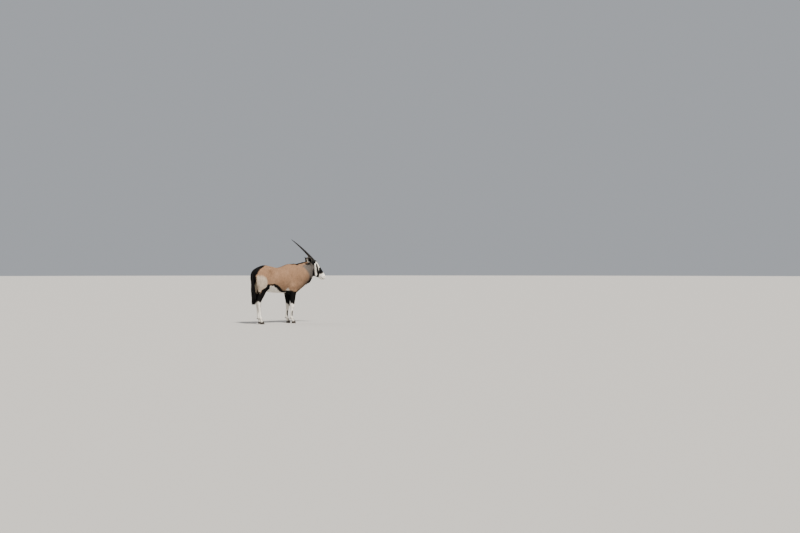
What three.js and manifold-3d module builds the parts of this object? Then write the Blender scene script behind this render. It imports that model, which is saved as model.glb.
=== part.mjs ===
// A life-size gemsbok (Oryx gazella) standing still, its neck turned to the right and its head held low.
// Millimetres, +Z up. The animal faces -Y, its left side is +X, and its hooves stand on the plane z = 0.
import * as THREE from 'three';
import { mergeVertices } from 'three/addons/utils/BufferGeometryUtils.js';
import Module from 'manifold-3d';

const wasm = await Module();
wasm.setup();

// The gap between two nodes that meet, and how far a fused form's root is sunk
const GAP = 0.32;
const ROOT_DEPTH = 14;

const UP = new THREE.Vector3(0, 0, 1);
const FORWARD = new THREE.Vector3(0, -1, 0);
const LEFT = new THREE.Vector3(1, 0, 0);

// A place on the animal: how far forward of the middle, how far to its left and how high
const at = (forward, left, height) => new THREE.Vector3(left, -forward, height);

// Materials, from the coat's colours
const paint = (color, roughness = 0.9) => new THREE.MeshStandardMaterial({ color, roughness, metalness: 0 });
const FAWN = paint(0xb99a80);
const BLACK = paint(0x1d1815);
const WHITE = paint(0xe9e4da);
const GREY = paint(0x8f8a84);
const HORN = paint(0x2b2420, 0.6);
const HOOF = paint(0x2a2623, 0.7);
const EYE = paint(0x120b07, 0.1);

// Seeded draws, so that the hair falls the same way each time
function drawer(seed) {
  let state = seed;
  return (low, high) => {
    state = (state * 1664525 + 1013904223) % 4294967296;
    return low + (high - low) * (state / 4294967296);
  };
}

// FLESH: each limb is a run of oval sections, and each field gives a point's distance outside the surface

// One section: its centre, its half width and how far it reaches above and below that centre
const section = (centre, wide, above, below = above) => ({ centre, wide, above, below });

// The distance to a run of sections whose upper sides face the reference direction
function limb(sections, reference, samplesEach = 5) {
  const path = new THREE.CatmullRomCurve3(sections.map((one) => one.centre), false, 'catmullrom', 0.5);
  const girths = sections.map((one) => new THREE.Vector3(one.wide, one.above, one.below));
  const girth = new THREE.CatmullRomCurve3(girths, false, 'catmullrom', 0.5);
  const count = (sections.length - 1) * samplesEach;
  const samples = [];
  for (let i = 0; i <= count; i += 1) {
    const ahead = path.getTangent(i / count);
    const across = new THREE.Vector3().crossVectors(ahead, reference).normalize();
    const up = new THREE.Vector3().crossVectors(across, ahead);
    samples.push({ centre: path.getPoint(i / count), girth: girth.getPoint(i / count), ahead, across, up });
  }
  const axis = new THREE.Vector3();
  const offset = new THREE.Vector3();
  const size = new THREE.Vector3();
  return (point) => {
    let nearest = Infinity;
    for (let i = 0; i < count; i += 1) {
      const start = samples[i];
      const end = samples[i + 1];
      axis.subVectors(end.centre, start.centre);
      offset.subVectors(point, start.centre);
      const along = THREE.MathUtils.clamp(offset.dot(axis) / axis.lengthSq(), 0, 1);
      offset.addScaledVector(axis, -along);
      size.lerpVectors(start.girth, end.girth, along);
      const frame = along < 0.5 ? start : end;
      const rise = offset.dot(frame.up);
      const x = offset.dot(frame.across) / size.x;
      const y = rise / (rise > 0 ? size.y : size.z);
      const z = offset.dot(frame.ahead) / ((size.x + size.y + size.z) / 3);
      const reach = Math.max(Math.sqrt(x * x + y * y + z * z), 1e-6);
      nearest = Math.min(nearest, offset.length() * (1 - 1 / reach));
    }
    return nearest;
  };
}

// The distance to an ellipsoid with its three half sizes along the three given directions
function lump(centre, directions, sizes) {
  const offset = new THREE.Vector3();
  return (point) => {
    offset.subVectors(point, centre);
    const x = offset.dot(directions[0]) / sizes[0];
    const y = offset.dot(directions[1]) / sizes[1];
    const z = offset.dot(directions[2]) / sizes[2];
    const reach = Math.max(Math.sqrt(x * x + y * y + z * z), 1e-6);
    return offset.length() * (1 - 1 / reach);
  };
}

const BODY_AXES = [FORWARD, LEFT, UP];
const bodyLump = (centre, forward, side, height) => lump(centre, BODY_AXES, [forward, side, height]);

// Two distances joined over a smooth fold of the given width
function blend(a, b, fold) {
  const closeness = Math.max(fold - Math.abs(a - b), 0) / fold;
  return Math.min(a, b) - closeness * closeness * fold / 4;
}

// Several fields joined into one
const join = (fields, fold) => (point) => fields.reduce((sum, field) => blend(sum, field(point), fold), 1e4);

// TRUNK: the profile stands 1.20 m at the withers and dips behind them
const trunk = limb([
  section(at(-374, 0, 972), 108, 146, 126),
  section(at(-330, 0, 945), 150, 216, 195),
  section(at(-250, 0, 925), 172, 258, 228),
  section(at(-120, 0, 900), 190, 258, 264),
  section(at(30, 0, 880), 205, 252, 262),
  section(at(180, 0, 870), 210, 285, 256),
  section(at(320, 0, 870), 192, 328, 256),
  section(at(430, 0, 875), 165, 285, 245),
  section(at(520, 0, 880), 120, 210, 200),
], UP);

const neck = limb([
  section(at(370, 0, 920), 165, 265, 275),
  section(at(537, -10, 955), 138, 236, 246),
  section(at(664, -50, 1020), 108, 214, 196),
  section(at(745, -90, 1100), 84, 168, 132),
  section(at(795, -124, 1165), 64, 108, 100),
  section(at(838, -152, 1200), 58, 62, 70),
], UP);

const SIDES = [-1, 1];

const shoulders = SIDES.flatMap((side) => {
  const scapula = new THREE.Vector3(0, -0.4, -0.917).normalize();
  const fore = new THREE.Vector3().crossVectors(LEFT, scapula).normalize();
  return [
    lump(at(385, side * 122, 915), [fore, LEFT, scapula], [118, 68, 235]),
    bodyLump(at(455, side * 118, 775), 92, 62, 84),
    bodyLump(at(335, side * 128, 745), 78, 50, 84),
  ];
});

const hips = SIDES.flatMap((side) => [
  bodyLump(at(-195, side * 112, 1075), 85, 52, 62),
  bodyLump(at(-440, side * 72, 960), 58, 52, 110),
]);

const brisket = bodyLump(at(470, 0, 735), 82, 96, 108);

// LEGS: a lean shifts the joints of one leg forward of its fellow's
const FORE_FOOT = 374;
const HIND_FOOT = -352;
const FORE_FETLOCK = 328;
const HIND_FETLOCK = -386;
// The share of its leg's lean that a fore cannon takes up
const CANNON_LEAN = 0.8;
function foreleg(side, lean, step) {
  const place = (forward, left, height) => at(forward, side * left, height);
  return limb([
    section(place(385, 128, 790), 62, 92),
    section(place(368 + lean * 0.3, 128, 700), 64, 88, 90),
    section(place(352 + lean * 0.6, 124, 610), 56, 76, 70),
    section(place(347 + lean, 118, 510), 46, 66, 58),
    section(place(348 + lean, 113, 415), 37, 50, 45),
    section(place(347 + lean, 110, 352), 38, 45, 41),
    section(place(341 + lean * 0.9, 109, 292), 29, 31, 30),
    section(place(332 + lean * CANNON_LEAN, 108, 205), 24, 25, 28),
    section(place(FORE_FETLOCK + lean * CANNON_LEAN, 108, 132), 31, 31, 35),
    section(place(352 + (lean + step) / 2, 108, 86), 27, 25, 27),
    section(place(FORE_FOOT + step, 110, 48), 33, 33, 34),
    section(place(FORE_FOOT + 10 + step, 110, 16), 34, 34, 34),
  ], FORWARD);
}

function hindleg(side, lean, step) {
  const place = (forward, left, height) => at(forward, side * left, height);
  return limb([
    section(place(-350, 92, 1010), 82, 130, 105),
    section(place(-350, 108, 900), 90, 142, 135),
    section(place(-342 + lean * 0.2, 120, 795), 84, 128, 135),
    section(place(-352 + lean * 0.5, 124, 700), 66, 106, 104),
    section(place(-382 + lean * 0.8, 122, 600), 50, 86, 68),
    section(place(-408 + lean, 117, 515), 38, 62, 52),
    section(place(-425 + lean, 112, 452), 35, 50, 46),
    section(place(-418 + lean, 110, 390), 31, 35, 36),
    section(place(-404 + lean, 108, 290), 25, 27, 30),
    section(place(-395 + lean, 108, 190), 25, 26, 29),
    section(place(HIND_FETLOCK + lean, 108, 130), 31, 31, 35),
    section(place(-368 + (lean + step) / 2, 108, 86), 27, 25, 27),
    section(place(HIND_FOOT + step, 110, 48), 33, 33, 34),
    section(place(HIND_FOOT + 10 + step, 110, 16), 34, 34, 34),
  ], FORWARD);
}

// How far each leg's joints lean and its hoof steps forward
const LEGS = [
  { name: 'leg_fore_right', side: -1, fore: true, lean: 0, step: 0 },
  { name: 'leg_fore_left', side: 1, fore: true, lean: 22, step: 4 },
  { name: 'leg_hind_right', side: -1, fore: false, lean: 0, step: 0 },
  { name: 'leg_hind_left', side: 1, fore: false, lean: 80, step: 76 },
];

const legFields = LEGS.map(({ side, fore, lean, step }) => (fore ? foreleg : hindleg)(side, lean, step));

// HEAD: its own frame runs from the poll down the face, out through the forehead and to its left
const POLL = at(786, -108, 1225);
const HEAD_TURN = THREE.MathUtils.degToRad(32);
const HEAD_PITCH = THREE.MathUtils.degToRad(50);
const headLevel = at(Math.cos(HEAD_TURN), -Math.sin(HEAD_TURN), 0);
const NOSEWARD = headLevel.clone().multiplyScalar(Math.cos(HEAD_PITCH))
  .addScaledVector(UP, -Math.sin(HEAD_PITCH));
const BROWWARD = headLevel.clone().multiplyScalar(Math.sin(HEAD_PITCH))
  .addScaledVector(UP, Math.cos(HEAD_PITCH));
const HEAD_LEFT = new THREE.Vector3().crossVectors(BROWWARD, NOSEWARD);
const HEAD_AXES = [NOSEWARD, HEAD_LEFT, BROWWARD];

const headWay = (along, left, brow) => NOSEWARD.clone().multiplyScalar(along)
  .addScaledVector(HEAD_LEFT, left).addScaledVector(BROWWARD, brow);
const onHead = (along, left, brow) => POLL.clone().add(headWay(along, left, brow));
const headLump = (centre, along, side, brow) => lump(centre, HEAD_AXES, [along, side, brow]);

const skull = limb([
  section(onHead(-42, 0, 5), 54, 58, 60),
  section(onHead(0, 0, 10), 70, 78, 70),
  section(onHead(45, 0, 15), 76, 88, 75),
  section(onHead(100, 0, 20), 72, 86, 70),
  section(onHead(150, 0, 22), 62, 82, 64),
  section(onHead(210, 0, 20), 51, 77, 58),
  section(onHead(280, 0, 15), 44, 72, 52),
  section(onHead(340, 0, 12), 41, 63, 44),
  section(onHead(382, 0, 12), 38, 49, 36),
  section(onHead(396, 0, 12), 34, 40, 30),
], BROWWARD);

const jaw = limb([
  section(onHead(95, 0, -74), 40, 50, 48),
  section(onHead(150, 0, -80), 44, 50, 52),
  section(onHead(205, 0, -80), 40, 46, 48),
  section(onHead(255, 0, -72), 34, 40, 40),
  section(onHead(300, 0, -60), 30, 34, 31),
  section(onHead(345, 0, -46), 28, 28, 25),
  section(onHead(388, 0, -34), 27, 24, 20),
], BROWWARD);

const HORN_SPREAD = 36;
const EYE_RADIUS = 19;
const eyeCentre = (side) => onHead(128, side * 64, 58);
const earRoot = (side) => onHead(-2, side * 60, 20);

const face = SIDES.flatMap((side) => [
  headLump(onHead(150, side * 31, -48), 84, 29, 66),
  headLump(onHead(124, side * 56, 62), 50, 27, 36),
  headLump(onHead(180, side * 46, 18), 62, 14, 18),
  headLump(onHead(400, side * 17, 28), 22, 18, 19),
  headLump(onHead(34, side * HORN_SPREAD, 80), 46, 35, 36),
  headLump(earRoot(side), 30, 24, 32),
]);
const upperLip = headLump(onHead(398, 0, -4), 27, 34, 20);

// The whole animal's flesh, and the part that the trunk's node is cast from
const trunkFlesh = join([trunk, neck, ...shoulders, ...hips, brisket], 60);
const headFlesh = join([skull, jaw, ...face, upperLip], 28);
const NEAR_LEG = 60;
const NEAR_HEAD = 45;
function flesh(point) {
  const legs = legFields.reduce((least, field) => Math.min(least, field(point)), 1e4);
  return blend(blend(trunkFlesh(point), legs, NEAR_LEG), headFlesh(point), NEAR_HEAD);
}

// CASTING: rays leave a core line, and the points where they leave the flesh are a node's surface

const RAY_STEP = 9;
function cast(field, origin, direction, limit) {
  const point = origin.clone();
  let travelled = 0;
  while (travelled < limit) {
    const beyond = Math.min(travelled + RAY_STEP, limit);
    point.copy(origin).addScaledVector(direction, beyond);
    if (field(point) > 0) {
      let inside = travelled;
      let outside = beyond;
      for (let i = 0; i < 9; i += 1) {
        const middle = (inside + outside) / 2;
        point.copy(origin).addScaledVector(direction, middle);
        if (field(point) > 0) outside = middle;
        else inside = middle;
      }
      return point;
    }
    travelled = beyond;
  }
  return point;
}

// A closed surface from rows of points, each row a ring, with one point closing each end
function wrap(rows, startPoint, endPoint) {
  const sides = rows[0].length;
  const positions = [startPoint, ...rows.flat(), endPoint].flatMap((point) => point.toArray());
  const at3 = (row, side) => 1 + row * sides + (side % sides);
  const last = 1 + rows.length * sides;
  const index = [];
  for (let side = 0; side < sides; side += 1) {
    index.push(0, at3(0, side), at3(0, side + 1));
    index.push(last, at3(rows.length - 1, side + 1), at3(rows.length - 1, side));
    for (let row = 0; row < rows.length - 1; row += 1) {
      index.push(at3(row, side), at3(row + 1, side), at3(row, side + 1));
      index.push(at3(row, side + 1), at3(row + 1, side), at3(row + 1, side + 1));
    }
  }
  const geometry = new THREE.BufferGeometry();
  geometry.setAttribute('position', new THREE.Float32BufferAttribute(positions, 3));
  geometry.setIndex(index);
  return solid(geometry);
}

// One row of rays: an origin, the way ahead, and how far the rays lean ahead
const row = (origin, ahead, lean = 0) => ({ origin, ahead, lean });

// The solid that the rows of rays find in a field
function castSolid(field, rows, reference, sides, limit, roundStart, roundEnd) {
  const rings = rows.map(({ origin, ahead, lean }) => {
    const across = new THREE.Vector3().crossVectors(ahead, reference).normalize();
    const up = new THREE.Vector3().crossVectors(across, ahead);
    return Array.from({ length: sides }, (_, side) => {
      const turn = 2 * Math.PI * side / sides;
      const direction = across.clone().multiplyScalar(Math.cos(turn)).addScaledVector(up, Math.sin(turn));
      direction.multiplyScalar(Math.cos(lean)).addScaledVector(ahead, Math.sin(lean));
      return cast(field, origin, direction, limit);
    });
  });
  const first = rows[0];
  const last = rows[rows.length - 1];
  const start = roundStart ? cast(field, first.origin, first.ahead.clone().negate(), limit) : first.origin;
  const end = roundEnd ? cast(field, last.origin, last.ahead, limit) : last.origin;
  return wrap(rings, start, end);
}

// Rows whose rays fan out round one origin, from square to the line to nearly along it
const fan = (origin, ahead, leans) =>
  leans.map((degrees) => row(origin, ahead, THREE.MathUtils.degToRad(degrees)));

// Rows at even steps along a curve through the given points
function rowsAlong(points, count) {
  const path = new THREE.CatmullRomCurve3(points);
  return Array.from({ length: count }, (_, i) => {
    const share = i / (count - 1);
    return row(path.getPointAt(share), path.getTangentAt(share));
  });
}

// SOLIDS: closed meshes joined and cut

function solid(source) {
  let geometry = source.clone();
  geometry.deleteAttribute('normal');
  geometry.deleteAttribute('uv');
  geometry = mergeVertices(geometry, 1e-4);
  const vertProperties = new Float32Array(geometry.attributes.position.array);
  const triVerts = new Uint32Array(geometry.index.array);
  const mesh = new wasm.Mesh({ numProp: 3, vertProperties, triVerts });
  mesh.merge();
  const whole = new wasm.Manifold(mesh);
  if (whole.volume() > 0) return whole;
  for (let i = 0; i < triVerts.length; i += 3) {
    [triVerts[i], triVerts[i + 1]] = [triVerts[i + 1], triVerts[i]];
  }
  return new wasm.Manifold(new wasm.Mesh({ numProp: 3, vertProperties, triVerts }));
}

// The largest closed body of a solid, which leaves out any scrap that a cut sheds
function largest(whole) {
  const pieces = whole.decompose();
  return pieces.reduce((best, piece) => (piece.volume() > best.volume() ? piece : best));
}

function meshOf(name, whole, material) {
  const { vertProperties, triVerts } = largest(whole).getMesh();
  const geometry = new THREE.BufferGeometry();
  geometry.setAttribute('position', new THREE.BufferAttribute(new Float32Array(vertProperties), 3));
  geometry.setIndex(new THREE.BufferAttribute(new Uint32Array(triVerts), 1));
  geometry.computeVertexNormals();
  const mesh = new THREE.Mesh(geometry, material);
  mesh.name = name;
  return mesh;
}

// All that lies beyond a plane, pushed back along the plane's normal by a shift
const FAR = 4000;
function beyond(point, normal, shift) {
  const box = new THREE.BoxGeometry(FAR, FAR, FAR);
  box.translate(0, 0, FAR / 2);
  const way = normal.clone().normalize();
  box.applyQuaternion(new THREE.Quaternion().setFromUnitVectors(UP, way));
  const corner = point.clone().addScaledVector(way, shift);
  box.translate(corner.x, corner.y, corner.z);
  return solid(box);
}

// A plane through two points that also holds a third direction
const planeNormal = (start, end, held) =>
  new THREE.Vector3().crossVectors(end.clone().sub(start), held).normalize();

// TAPERED FORMS: locks of hair and horns share one sweep of oval rings along a curve

function sweep(curve, count, sides, flatWay, ringSize) {
  const rings = [];
  for (let i = 0; i < count; i += 1) {
    const share = i / (count - 1);
    const centre = curve.getPointAt(share);
    const ahead = curve.getTangentAt(share);
    const across = new THREE.Vector3().crossVectors(ahead, flatWay).normalize();
    const up = new THREE.Vector3().crossVectors(across, ahead);
    const { wide, thick } = ringSize(share);
    rings.push(Array.from({ length: sides }, (_, side) => {
      const turn = 2 * Math.PI * side / sides;
      return centre.clone().addScaledVector(across, wide * Math.cos(turn))
        .addScaledVector(up, thick * Math.sin(turn));
    }));
  }
  return wrap(rings, curve.getPointAt(0), curve.getPointAt(1));
}

// A flat lock that leaves its root along one way and bends over to another
function lock(root, leaving, falling, length, width, thickness) {
  const way = leaving.clone().normalize();
  const fall = falling.clone().normalize();
  const start = root.clone().addScaledVector(way, -ROOT_DEPTH);
  const knee = root.clone().addScaledVector(way, length * 0.35);
  const tip = knee.clone().addScaledVector(fall, length * 0.7);
  const curve = new THREE.QuadraticBezierCurve3(start, knee, tip);
  return sweep(curve, 4, 4, leaving, (share) => {
    const fullness = Math.sin(Math.PI * (0.28 + 0.68 * share)) ** 0.8;
    return { wide: width / 2 * fullness, thick: thickness / 2 * (1 - 0.75 * share) };
  });
}

// NODES

// The cuts that part the trunk from the neck and the neck from the head
const neckCut = { point: at(420, 0, 1170), normal: planeNormal(at(420, 0, 1170), at(575, 0, 690), LEFT) };
const nape = onHead(-66, 0, -10);
const underJaw = onHead(226, 0, -150);
const headCut = { point: nape, normal: planeNormal(nape, underJaw, HEAD_LEFT) };
if (neckCut.normal.dot(FORWARD) < 0) neckCut.normal.negate();
if (headCut.normal.dot(BROWWARD) < 0) headCut.normal.negate();

// What a leg's node takes from the body: below a plane that rises outward, and between two upright ones
function legRegion({ side, fore }, grow) {
  const foreSlope = [at(0, side * 45, 640), at(0, side * 215, 735)];
  const hindSlope = [at(0, side * 20, 735), at(0, side * 205, 985)];
  const slope = fore ? foreSlope : hindSlope;
  const back = at(fore ? 225 : -700, 0, 0);
  const front = fore ? at(505, 0, 0) : at(-235, 0, 900);
  const top = planeNormal(slope[0], slope[1], FORWARD);
  if (top.z < 0) top.negate();
  const flank = fore ? FORWARD : new THREE.Vector3(0, -1, 0.28);
  const whole = beyond(at(0, 0, -FAR / 2), UP, 0);
  return [
    beyond(slope[0], top, grow),
    beyond(back, FORWARD.clone().negate(), grow),
    beyond(front, flank, grow),
    beyond(at(0, side * (fore ? 40 : 4), 0), LEFT.clone().multiplyScalar(-side), grow),
  ].reduce((region, cut) => region.subtract(cut), whole);
}

const nearestLeg = (point) => legFields.reduce((least, field) => Math.min(least, field(point)), 1e4);

// The trunk with the upper ends of its legs, before any cut
function trunkForm() {
  const line = (forward, height) => row(at(forward, 0, height), FORWARD);
  const spine = Array.from({ length: 24 },
    (_, i) => line(-400 + i * 44, 945 - 45 * Math.sin(Math.PI * i / 23)));
  const rump = fan(at(-400, 0, 960), FORWARD, [-72, -52, -33, -16]);
  const withLegs = (point) => blend(trunkFlesh(point), nearestLeg(point), NEAR_LEG);
  return castSolid(withLegs, [...rump, ...spine], UP, 28, 330, true, false);
}

const trunkSolid = trunkForm();

function torsoNode() {
  const body = LEGS.reduce((rest, leg) => rest.subtract(legRegion(leg, GAP / 2)), trunkSolid);
  return body.subtract(beyond(neckCut.point, neckCut.normal, -GAP / 2))
    .subtract(tailGroove())
    .subtract(dockForm(SOCKET_GAP))
    .subtract(dockForm(SOCKET_GAP).translate(at(SOCKET_GAP, 0, SOCKET_GAP).toArray()));
}

const NECK_CORE = [
  at(400, 0, 930), at(537, -10, 960), at(664, -50, 1030), at(745, -92, 1110), at(815, -132, 1195),
];

function neckNode() {
  const body = castSolid(flesh, rowsAlong(NECK_CORE, 14), UP, 22, 330, false, false);
  return [body, ...mane(), ...throatFringe()].reduce((sum, piece) => sum.add(piece))
    .subtract(beyond(neckCut.point, neckCut.normal.clone().negate(), -GAP / 2))
    .subtract(beyond(headCut.point, headCut.normal, -GAP / 2));
}

// A short mane stands along the crest of the neck and leans back over it
function mane() {
  const draw = drawer(7);
  const crest = [
    at(478, -2, 960), at(560, -14, 975), at(664, -50, 1030), at(745, -92, 1110), at(768, -104, 1140),
  ];
  return rowsAlong(crest, 14).map(({ origin, ahead }, i) => {
    const across = new THREE.Vector3().crossVectors(ahead, UP).normalize();
    const up = new THREE.Vector3().crossVectors(across, ahead);
    up.addScaledVector(across, i % 2 ? 0.05 : -0.05).normalize();
    const root = cast(flesh, origin, up, 330);
    const leaving = up.clone().addScaledVector(ahead, -0.7);
    const falling = ahead.clone().negate().addScaledVector(up, draw(0, 0.2));
    falling.addScaledVector(across, draw(-0.15, 0.15));
    return lock(root, leaving, falling, draw(64, 74), draw(34, 40), 12);
  });
}

// A fringe of longer hair lies back along the throat toward the brisket
function throatFringe() {
  const draw = drawer(19);
  const line = new THREE.CatmullRomCurve3([
    at(770, -108, 1100), at(735, -85, 1040), at(690, -60, 985), at(640, -35, 945),
  ]);
  const COUNT = 10;
  return Array.from({ length: COUNT }, (_, i) => {
    const share = i / (COUNT - 1);
    const origin = line.getPointAt(share);
    const way = at(0.66 - 0.1 * share, -0.4 + 0.3 * share, -0.62);
    way.addScaledVector(LEFT, i % 2 ? 0.12 : -0.12).normalize();
    const root = cast(flesh, origin, way, 300);
    const along = at(-0.45 - 0.3 * share, 0.12, -0.75);
    return lock(root, way.clone().addScaledVector(along, 1.6), along.addScaledVector(way, draw(0, 0.12)),
      draw(78, 92), draw(34, 42), 12);
  });
}

// TAIL: a dock sunk into the rump, clothed in long locks that hang together to the hocks
const DOCK = [
  { place: at(-438, 0, 1050), wide: 22, deep: 20 },
  { place: at(-480, -2, 1036), wide: 24, deep: 20 },
  { place: at(-501, -6, 972), wide: 28, deep: 21 },
  { place: at(-506, -12, 880), wide: 33, deep: 22 },
  { place: at(-498, -16, 760), wide: 36, deep: 23 },
  { place: at(-492, -18, 640), wide: 34, deep: 22 },
  { place: at(-490, -18, 540), wide: 23, deep: 15 },
];
const SOCKET_GAP = GAP + 0.2;
const GROOVE = 24;
const GROOVE_TOP = 1000;
const dockCurve = new THREE.CatmullRomCurve3(DOCK.map((one) => one.place));
const dockGirth = new THREE.CatmullRomCurve3(DOCK.map((one) => new THREE.Vector3(one.wide, one.deep, 0)));
const dockForm = (grow) => sweep(dockCurve, 16, 9, FORWARD, (share) => {
  const girth = dockGirth.getPoint(share);
  return { wide: girth.x + grow, thick: girth.y + grow };
});

// The cleft between the buttocks, where the tail hangs
const tailGroove = () => dockForm(GROOVE).subtract(beyond(at(0, 0, GROOVE_TOP), UP, 0));

function tailNode() {
  const draw = drawer(3);
  const LOCKS = 16;
  const locks = Array.from({ length: LOCKS }, (_, i) => {
    const share = 0.3 + 0.58 * (i / LOCKS);
    const middle = dockCurve.getPointAt(share);
    const turn = i * 2.4;
    const girth = dockGirth.getPoint(share);
    const side = at(-Math.cos(turn), Math.sin(turn), 0);
    const root = middle.clone().add(at(-Math.cos(turn) * girth.y * 0.8, Math.sin(turn) * girth.x * 0.8, 0));
    const falling = at(-Math.cos(turn) * 0.03, Math.sin(turn) * 0.12, -1);
    const length = Math.min(draw(170, 230), (middle.z - draw(385, 455)) / 0.95);
    return lock(root, side.addScaledVector(UP, -2.6), falling, length, draw(54, 64), 20);
  });
  return [dockForm(0), ...locks].reduce((sum, piece) => sum.add(piece));
}

// Two small dewclaws behind the fetlock
function dewclaws({ side, fore, lean }) {
  const fetlock = fore ? FORE_FETLOCK + lean * CANNON_LEAN : HIND_FETLOCK + lean;
  return [-1, 1].map((aside) => {
    const claw = new THREE.SphereGeometry(1, 6, 4);
    claw.scale(9, 11, 14);
    claw.rotateX(THREE.MathUtils.degToRad(35));
    const place = at(fetlock - 29, side * 108 + aside * 15, 108);
    claw.translate(place.x, place.y, place.z);
    return solid(claw);
  }).reduce((sum, claw) => sum.add(claw));
}

function legNode(leg, field) {
  const { side, fore, lean, step } = leg;
  const foreJoints = [
    at(365, side * 122, 680), at(350 + lean * 0.6, side * 122, 600), at(348 + lean, side * 113, 420),
    at(335 + lean * CANNON_LEAN, side * 108, 240), at(FORE_FETLOCK + lean * CANNON_LEAN, side * 108, 135),
  ];
  const hindJoints = [
    at(-345 + lean * 0.3, side * 120, 800), at(-385 + lean * 0.8, side * 121, 600),
    at(-424 + lean, side * 112, 460), at(-404 + lean, side * 108, 290), at(-388 + lean, side * 108, 135),
  ];
  const foot = (fore ? FORE_FOOT : HIND_FOOT) + step;
  const joints = fore ? foreJoints : hindJoints;
  const line = [...joints, at(foot, side * 110, 50), at(foot + 8, side * 110, 22)];
  const rows = rowsAlong(line, fore ? 24 : 27);
  const near = (point) => {
    const own = Math.min(field(point), 1e4);
    const inward = -point.x * side;
    return Math.max(blend(trunkFlesh(point), own, NEAR_LEG), inward);
  };
  return castSolid(near, rows, FORWARD, 12, 230, false, false)
    .add(trunkSolid)
    .subtract(tailGroove())
    .add(dewclaws(leg))
    .intersect(legRegion(leg, -GAP / 2))
    .subtract(beyond(coronet(leg), CORONET_WAY.clone().negate(), -GAP / 2));
}

// HOOVES: each foot has two claws with flat soles, topped by a slanting coronet
const CORONET_WAY = at(-0.42, 0, 1).normalize();
const coronet = ({ fore, step }) => at((fore ? FORE_FOOT : HIND_FOOT) + step, 0, 48);
const CLAW = { length: 106, width: 31, heel: 44, cleft: 2.5 };

function clawNode(leg, outer) {
  const centre = coronet(leg);
  const facing = (outer ? 1 : -1) * leg.side;
  const outline = (forwardSize, backSize, width) => {
    const shape = new THREE.Shape();
    shape.moveTo(-backSize, 0);
    shape.lineTo(forwardSize * 0.9, 0);
    shape.quadraticCurveTo(forwardSize * 1.02, width * 0.32, forwardSize * 0.72, width * 0.66);
    shape.quadraticCurveTo(forwardSize * 0.2, width * 1.12, -backSize * 0.45, width);
    shape.quadraticCurveTo(-backSize * 1.02, width * 0.92, -backSize, width * 0.3);
    return shape.getPoints(3);
  };
  const sole = outline(CLAW.length - CLAW.heel, CLAW.heel, CLAW.width);
  const top = outline(30, 36, CLAW.width - 1);
  const lay = (points, height, slant) => points.map((point) => {
    const left = leg.side * 110 + facing * (CLAW.cleft + point.y);
    return at(-centre.y + point.x, left, height + slant * point.x);
  });
  const slope = 0.42;
  const rings = [lay(sole, 0, 0), lay(top, centre.z - GAP / 2, slope)];
  const middle = (points) =>
    points.reduce((sum, point) => sum.add(point), new THREE.Vector3()).divideScalar(points.length);
  return wrap(rings, middle(rings[0]), middle(rings[1]));
}

// HORNS: nearly straight, ringed over the lower half, in line with the face
function hornCurve(side) {
  return new THREE.CubicBezierCurve3(
    onHead(46, side * HORN_SPREAD, 76),
    onHead(-160, side * 63, 79),
    onHead(-400, side * 112, 58),
    onHead(-624, side * 165, 8),
  );
}

const HORN_RADIUS = 29.5;
const HORN_TAPER = 0.66;
const HORN_TIP = 1.2;
function horn(side, grow, rowCount) {
  return sweep(hornCurve(side), rowCount, 9, BROWWARD, (share) => {
    const taper = HORN_RADIUS * (1 - share) ** HORN_TAPER + HORN_TIP;
    const ringed = Math.max(0, 1 - share / 0.6);
    const ridge = grow > 0 ? 1 : Math.cos(share * (rowCount - 1) * Math.PI);
    return { wide: taper + grow + 1.3 * ringed * ridge, thick: taper + grow + 1.3 * ringed * ridge };
  });
}

// EARS: a long leaf, rolled into a tube at its root and opening toward its tip
const EAR_LENGTH = 176;
const EAR_TIPS = { right: headWay(-0.757, -0.651, 0.083), left: headWay(-0.93, 0.31, -0.27) };
const EAR_OPENINGS = { right: headWay(0.3, -0.8, -0.4), left: headWay(0.25, 0.85, -0.35) };

function ear(sideName, side) {
  const along = EAR_TIPS[sideName].clone().normalize();
  const open = EAR_OPENINGS[sideName].clone()
    .addScaledVector(along, -EAR_OPENINGS[sideName].dot(along)).normalize();
  const across = new THREE.Vector3().crossVectors(along, open);
  const root = earRoot(side);
  const ROWS = 9;
  const COLUMNS = 6;
  const surface = (share, column, inset) => {
    const halfWidth = 19 + 33 * Math.sin(Math.PI * Math.min(share * 0.98, 1)) ** 0.9;
    const tip = 1 - THREE.MathUtils.smoothstep(share, 0.62, 1) * 0.97;
    const opened = THREE.MathUtils.smoothstep(share, 0, 0.75);
    const spread = THREE.MathUtils.degToRad(THREE.MathUtils.lerp(140, 62, opened));
    const radius = (halfWidth * tip) / Math.sin(Math.min(spread, Math.PI / 2));
    const turn = spread * (2 * column / COLUMNS - 1);
    const edge = 1 - 0.45 * Math.abs(2 * column / COLUMNS - 1);
    const reach = Math.max(radius - inset * 5.5 * edge * (1 - 0.45 * share), 0.6);
    const back = radius - 22;
    return root.clone().addScaledVector(along, 22 + share * EAR_LENGTH * 0.9)
      .addScaledVector(open, back - reach * Math.cos(turn))
      .addScaledVector(across, reach * Math.sin(turn));
  };
  const rings = [];
  for (let i = 0; i <= ROWS; i += 1) {
    const outerRing = Array.from({ length: COLUMNS + 1 }, (_, column) => surface(i / ROWS, column, 0));
    const innerRing = Array.from({ length: COLUMNS + 1 },
      (_, column) => surface(i / ROWS, COLUMNS - column, 1));
    rings.push([...outerRing, ...innerRing]);
  }
  const middle = (ring) => ring[COLUMNS / 2].clone().lerp(ring[COLUMNS + 1 + COLUMNS / 2], 0.5);
  return wrap(rings, middle(rings[0]), middle(rings[ROWS]));
}

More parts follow.
